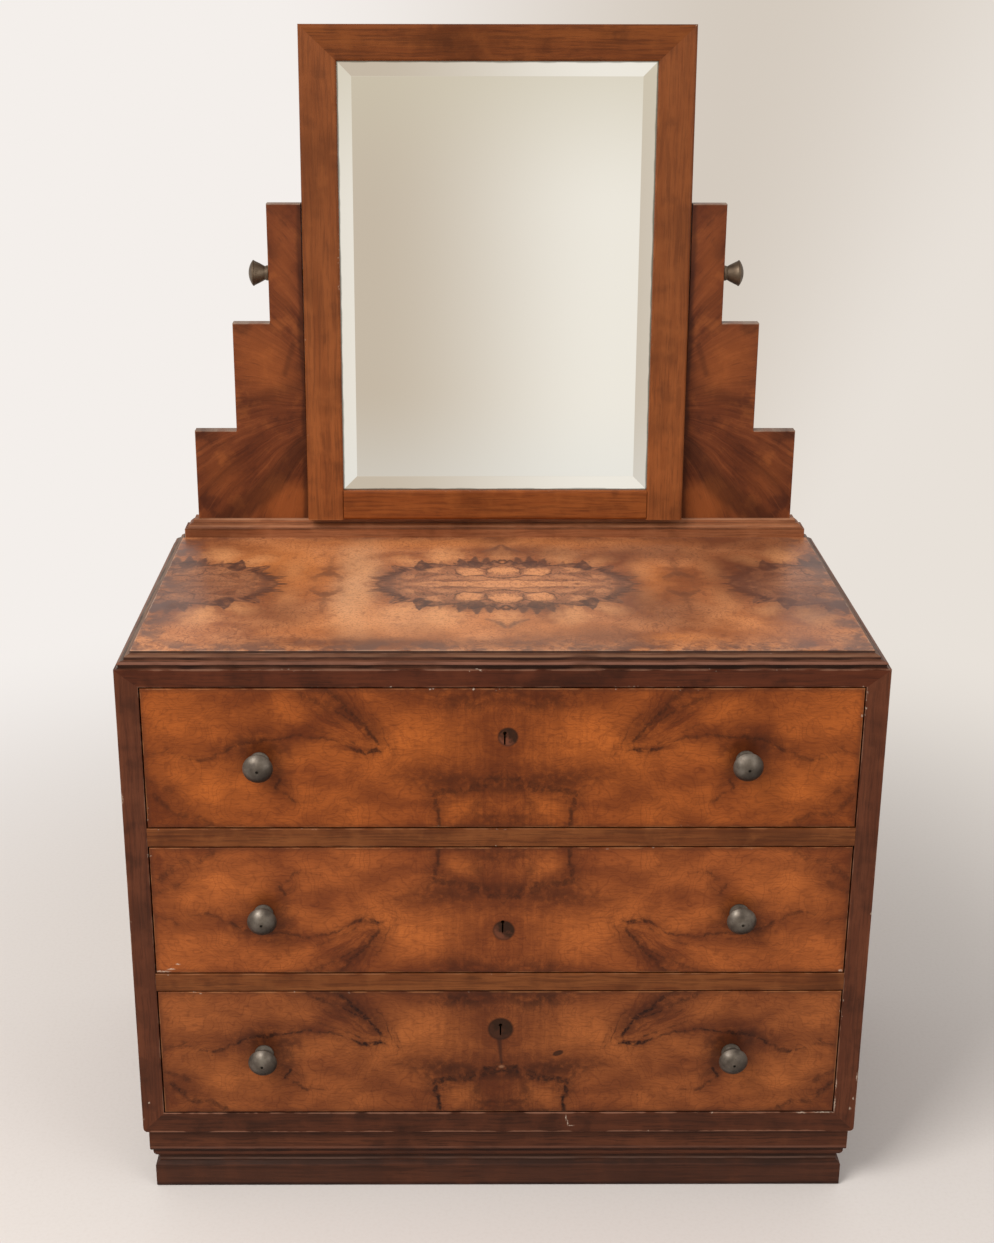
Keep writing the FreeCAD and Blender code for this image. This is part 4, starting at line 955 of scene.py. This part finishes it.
straight_walnut("top_moulding_front", TOP_MOULDING_WALNUT, "X", 25.0, edge=1.2, lines=TOP_MOULDING_LIGHT_AND_SHADE)
straight_walnut("plinth_front", PLINTH_WALNUT, "X", 26.0, edge=1.5, lines=PLINTH_LIGHT_AND_SHADE)
straight_walnut("mirror_top_rail", MIRROR_HEAD_SHADED_WALNUT, "X", 27.0, edge=2.2, chips=0.4, contrast=0.45,
                box=frame_box(-FRAME_OUT, FRAME_OUT, foot=1386.0), knocks=MIRROR_HEAD_KNOCKS)
straight_walnut("mirror_bottom_rail", MIRROR_FOOT_WALNUT, "X", 28.0, edge=1.6, chips=0.3, contrast=0.45,
                box=frame_box(-239.3, 239.3, head=813.0))
straight_walnut("mirror_base_rail", BASE_RAIL_WALNUT, "X", 29.0, edge=2.0, contrast=0.45,
                lines=BASE_RAIL_LIGHT_AND_SHADE, shade=("X", -300.0, -430.0, 0.5))
burr_top()
for drawer, front in FRONTS.items():
    figured_front(drawer, front)

# Body and dark streak of the plain woods.
BARE = ((178, 146, 108), (140, 104, 68))
PLY = ((186, 158, 122), (158, 126, 90))
for node, axis, seed in (("rear_rails", "X", 40.0), ("runners_and_kickers", "Y", 41.0),
                         ("plinth_back", "X", 42.0), ("support_battens", "Z", 43.0)):
    plain_wood(node, *BARE, axis, seed)
plain_wood("back_panel", *PLY, "Z", 50.0, spacing=12.0)
plain_wood("mirror_back_board", *PLY, "Z", 51.0, spacing=12.0)
for drawer, seed in zip(FRONTS, (60.0, 65.0, 70.0)):
    plain_wood(drawer + "_drawer_side_left", *BARE, "Y", seed)
    plain_wood(drawer + "_drawer_side_right", *BARE, "Y", seed + 1.0)
    plain_wood(drawer + "_drawer_back", *BARE, "X", seed + 2.0)
    plain_wood(drawer + "_drawer_bottom", *PLY, "X", seed + 3.0, spacing=12.0)

thumb_bronze = weathered_metal("browned bronze", (86, 71, 56), (122, 106, 88), (46, 35, 26), 2.0,
                               metallic=0.7, roughness=0.46)
lock_brass = weathered_metal("tarnished brass", (150, 124, 74), (182, 154, 96), (92, 72, 44), 3.0)
screw_steel = weathered_metal("dull steel", (120, 118, 114), (160, 158, 154), (70, 64, 58), 4.0)
for drawer, front in FRONTS.items():
    clothe(drawer + "_drawer_lock", lock_brass)
    clothe(drawer + "_drawer_lock_bolt", lock_brass)
    for side, middle in zip(("left", "right"), front.knobs):
        clothe(f"{drawer}_drawer_knob_{side}",
               weathered_metal(f"weathered bronze of the {drawer} {side} knob", (92, 83, 74), (134, 126, 116),
                               (38, 31, 26), middle[1] / 100.0, metallic=0.75, roughness=0.4, knob=middle))
clothe("thumb_knob_left", thumb_bronze)
clothe("thumb_knob_right", thumb_bronze)
clothe("pivot_plates", lock_brass)
clothe("batten_screws", screw_steel)
clothe("mirror_glass", silvered_glass())


# ---- floor, card, lamps and camera
# The floor's cloth passes into the backdrop between these distances from its middle.
CLOTH_REACH = 650.0
BACKDROP_START = 2100.0
# The camera, in metres and degrees: it looks down by its pitch and to the right by its yaw.
CAMERA_PLACE = (-0.0563, -2.2824, 1.508)
CAMERA_PITCH = 19.516
CAMERA_YAW = 0.297
CAMERA_ROLL = 0.074
CAMERA_LENS = 53.855
CAMERA_SHIFT = 0.0266


def seen(bench):
    """One for a ray that looks: from the camera, off a shining surface or through glass."""
    ray = bench.node("LightPath", {}).outputs
    return bench.largest([ray[name] for name in ("Is Camera Ray", "Is Glossy Ray", "Is Transmission Ray")])


def floor_finish():
    """A pale cloth that passes into a pale backdrop away from the chest; the backdrop has painted light and
    shade on it.
    """
    material, bench, surface, place = new_finish("pale cloth floor")
    parts = bench.split(place)
    distance = bench.length(parts["X"], parts["Y"])
    far = bench.step(distance, CLOTH_REACH, BACKDROP_START)
    weave = bench.noise(place, 5.0, 0.0, detail=3.0)[0]
    colour = bench.stain((218, 211, 206), (200, 190, 182), bench.step(weave, 0.4, 0.8), 0.2)
    cloth = bench.node("BsdfPrincipled", {"Base Color": colour, "Roughness": 0.9, "Specular IOR Level": 0.1})
    bearing = bench.maths("DIVIDE", parts["X"], bench.plus(distance, 1.0))
    # Painted light and shade on the backdrop: lightest to the left, a painted shadow band straight behind the
    # chest, paler again to the right.
    backdrop_light_and_shade = bench.coats(
        (244, 239, 235),
        ((212, 202, 190), bench.step(bearing, -0.1, 0.15), 1.0),
        ((232, 225, 217), bench.step(bearing, 0.15, 0.34), 1.0),
    )
    backdrop = bench.node("Emission", {"Color": backdrop_light_and_shade, "Strength": 1.0})
    mixed = bench.node("MixShader", {0: bench.times(far, seen(bench)), 1: cloth.outputs["BSDF"],
                                     2: backdrop.outputs["Emission"]})
    bench.feed(surface, mixed.outputs[0])
    return material


def card_finish():
    """A glowing cream card behind the camera, which only the mirror and the metal see: its painted tones give
    them a painted reflection of a room.
    """
    material, bench, surface, place = new_finish("cream card")
    parts = bench.split(place)
    colour = bench.coats(
        (203, 189, 171),
        ((244, 238, 228), bench.step(parts["X"], -320.0, 420.0), 1.0),
        ((212, 202, 180), bench.step(parts["Z"], 1150.0, 1750.0), 0.75),
        ((228, 230, 228), bench.step(parts["Z"], 700.0, 300.0), 0.4),
        ((252, 244, 230), bench.step(parts["X"], -380.0, -600.0), 1.0),
    )
    glow = bench.node("Emission", {"Color": colour, "Strength": 1.0})
    bench.feed(surface, glow.outputs["Emission"])
    return material


def new_plane(name, material, size, place, pitch=0.0):
    bpy.ops.object.select_all(action="DESELECT")
    bpy.ops.mesh.primitive_plane_add(size=size, location=place, rotation=(radians(pitch), 0.0, 0.0))
    plane = bpy.context.object
    plane.name = name
    bpy.ops.object.transform_apply(location=True, rotation=True, scale=True)
    plane.data.materials.append(material)
    return plane


def hang_lamp(name, place, aim, size, power, colour):
    data = bpy.data.lights.new(name, "AREA")
    data.shape = "RECTANGLE"
    data.size, data.size_y = size
    data.energy = power
    data.color = colour
    lamp = bpy.data.objects.new(name, data)
    bpy.context.scene.collection.objects.link(lamp)
    lamp.location = place
    lamp.rotation_mode = "QUATERNION"
    lamp.rotation_quaternion = (Vector(aim) - Vector(place)).to_track_quat("-Z", "Y")


def light_the_room():
    """A pale room: the world lights the chest with one tone and is looked at in another."""
    world = bpy.data.worlds.new("pale room")
    bpy.context.scene.world = world
    world.use_nodes = True
    world.node_tree.nodes.clear()
    bench = Bench(world.node_tree)
    light = bench.node("Background", {"Color": (1.0, 0.985, 0.965, 1.0), "Strength": 0.62})
    backdrop = bench.node("Background", {"Color": (240, 235, 229), "Strength": 1.0})
    mixed = bench.node("MixShader", {0: seen(bench), 1: light.outputs["Background"],
                                     2: backdrop.outputs["Background"]})
    bench.node("OutputWorld", {"Surface": mixed.outputs[0]})
    hang_lamp("window light", (-1.9, -2.1, 3.3), (0.0, 0.0, 0.7), (1.8, 2.0), 125.0, (1.0, 0.985, 0.96))
    hang_lamp("fill light", (2.4, -2.6, 1.9), (0.0, 0.0, 0.6), (2.0, 2.0), 26.0, (1.0, 0.99, 0.98))


def set_camera():
    pitch = radians(CAMERA_PITCH)
    yaw = radians(CAMERA_YAW)
    roll = radians(CAMERA_ROLL)
    forward = Vector((sin(yaw) * cos(pitch), cos(yaw) * cos(pitch), -sin(pitch)))
    right = Vector((cos(yaw), -sin(yaw), 0.0))
    upward = right.cross(forward)
    rolled_right = cos(roll) * right + sin(roll) * upward
    rolled_up = cos(roll) * upward - sin(roll) * right
    data = bpy.data.cameras.new("camera")
    data.sensor_width = 36.0
    data.lens = CAMERA_LENS
    data.shift_x = CAMERA_SHIFT
    camera = bpy.data.objects.new("camera", data)
    bpy.context.scene.collection.objects.link(camera)
    turn = Matrix((rolled_right, rolled_up, -forward)).transposed().to_4x4()
    camera.matrix_world = Matrix.Translation(CAMERA_PLACE) @ turn
    bpy.context.scene.camera = camera


floor = new_plane("floor", floor_finish(), 600.0, (0.0, 0.0, 0.0))
card = new_plane("cream card", card_finish(), 3.2, (0.0, -2.72, 1.5), pitch=90.0)
for kind in ("camera", "diffuse", "shadow", "transmission", "volume_scatter"):
    setattr(card, "visible_" + kind, False)
light_the_room()
set_camera()
bpy.context.scene.view_settings.view_transform = "Standard"
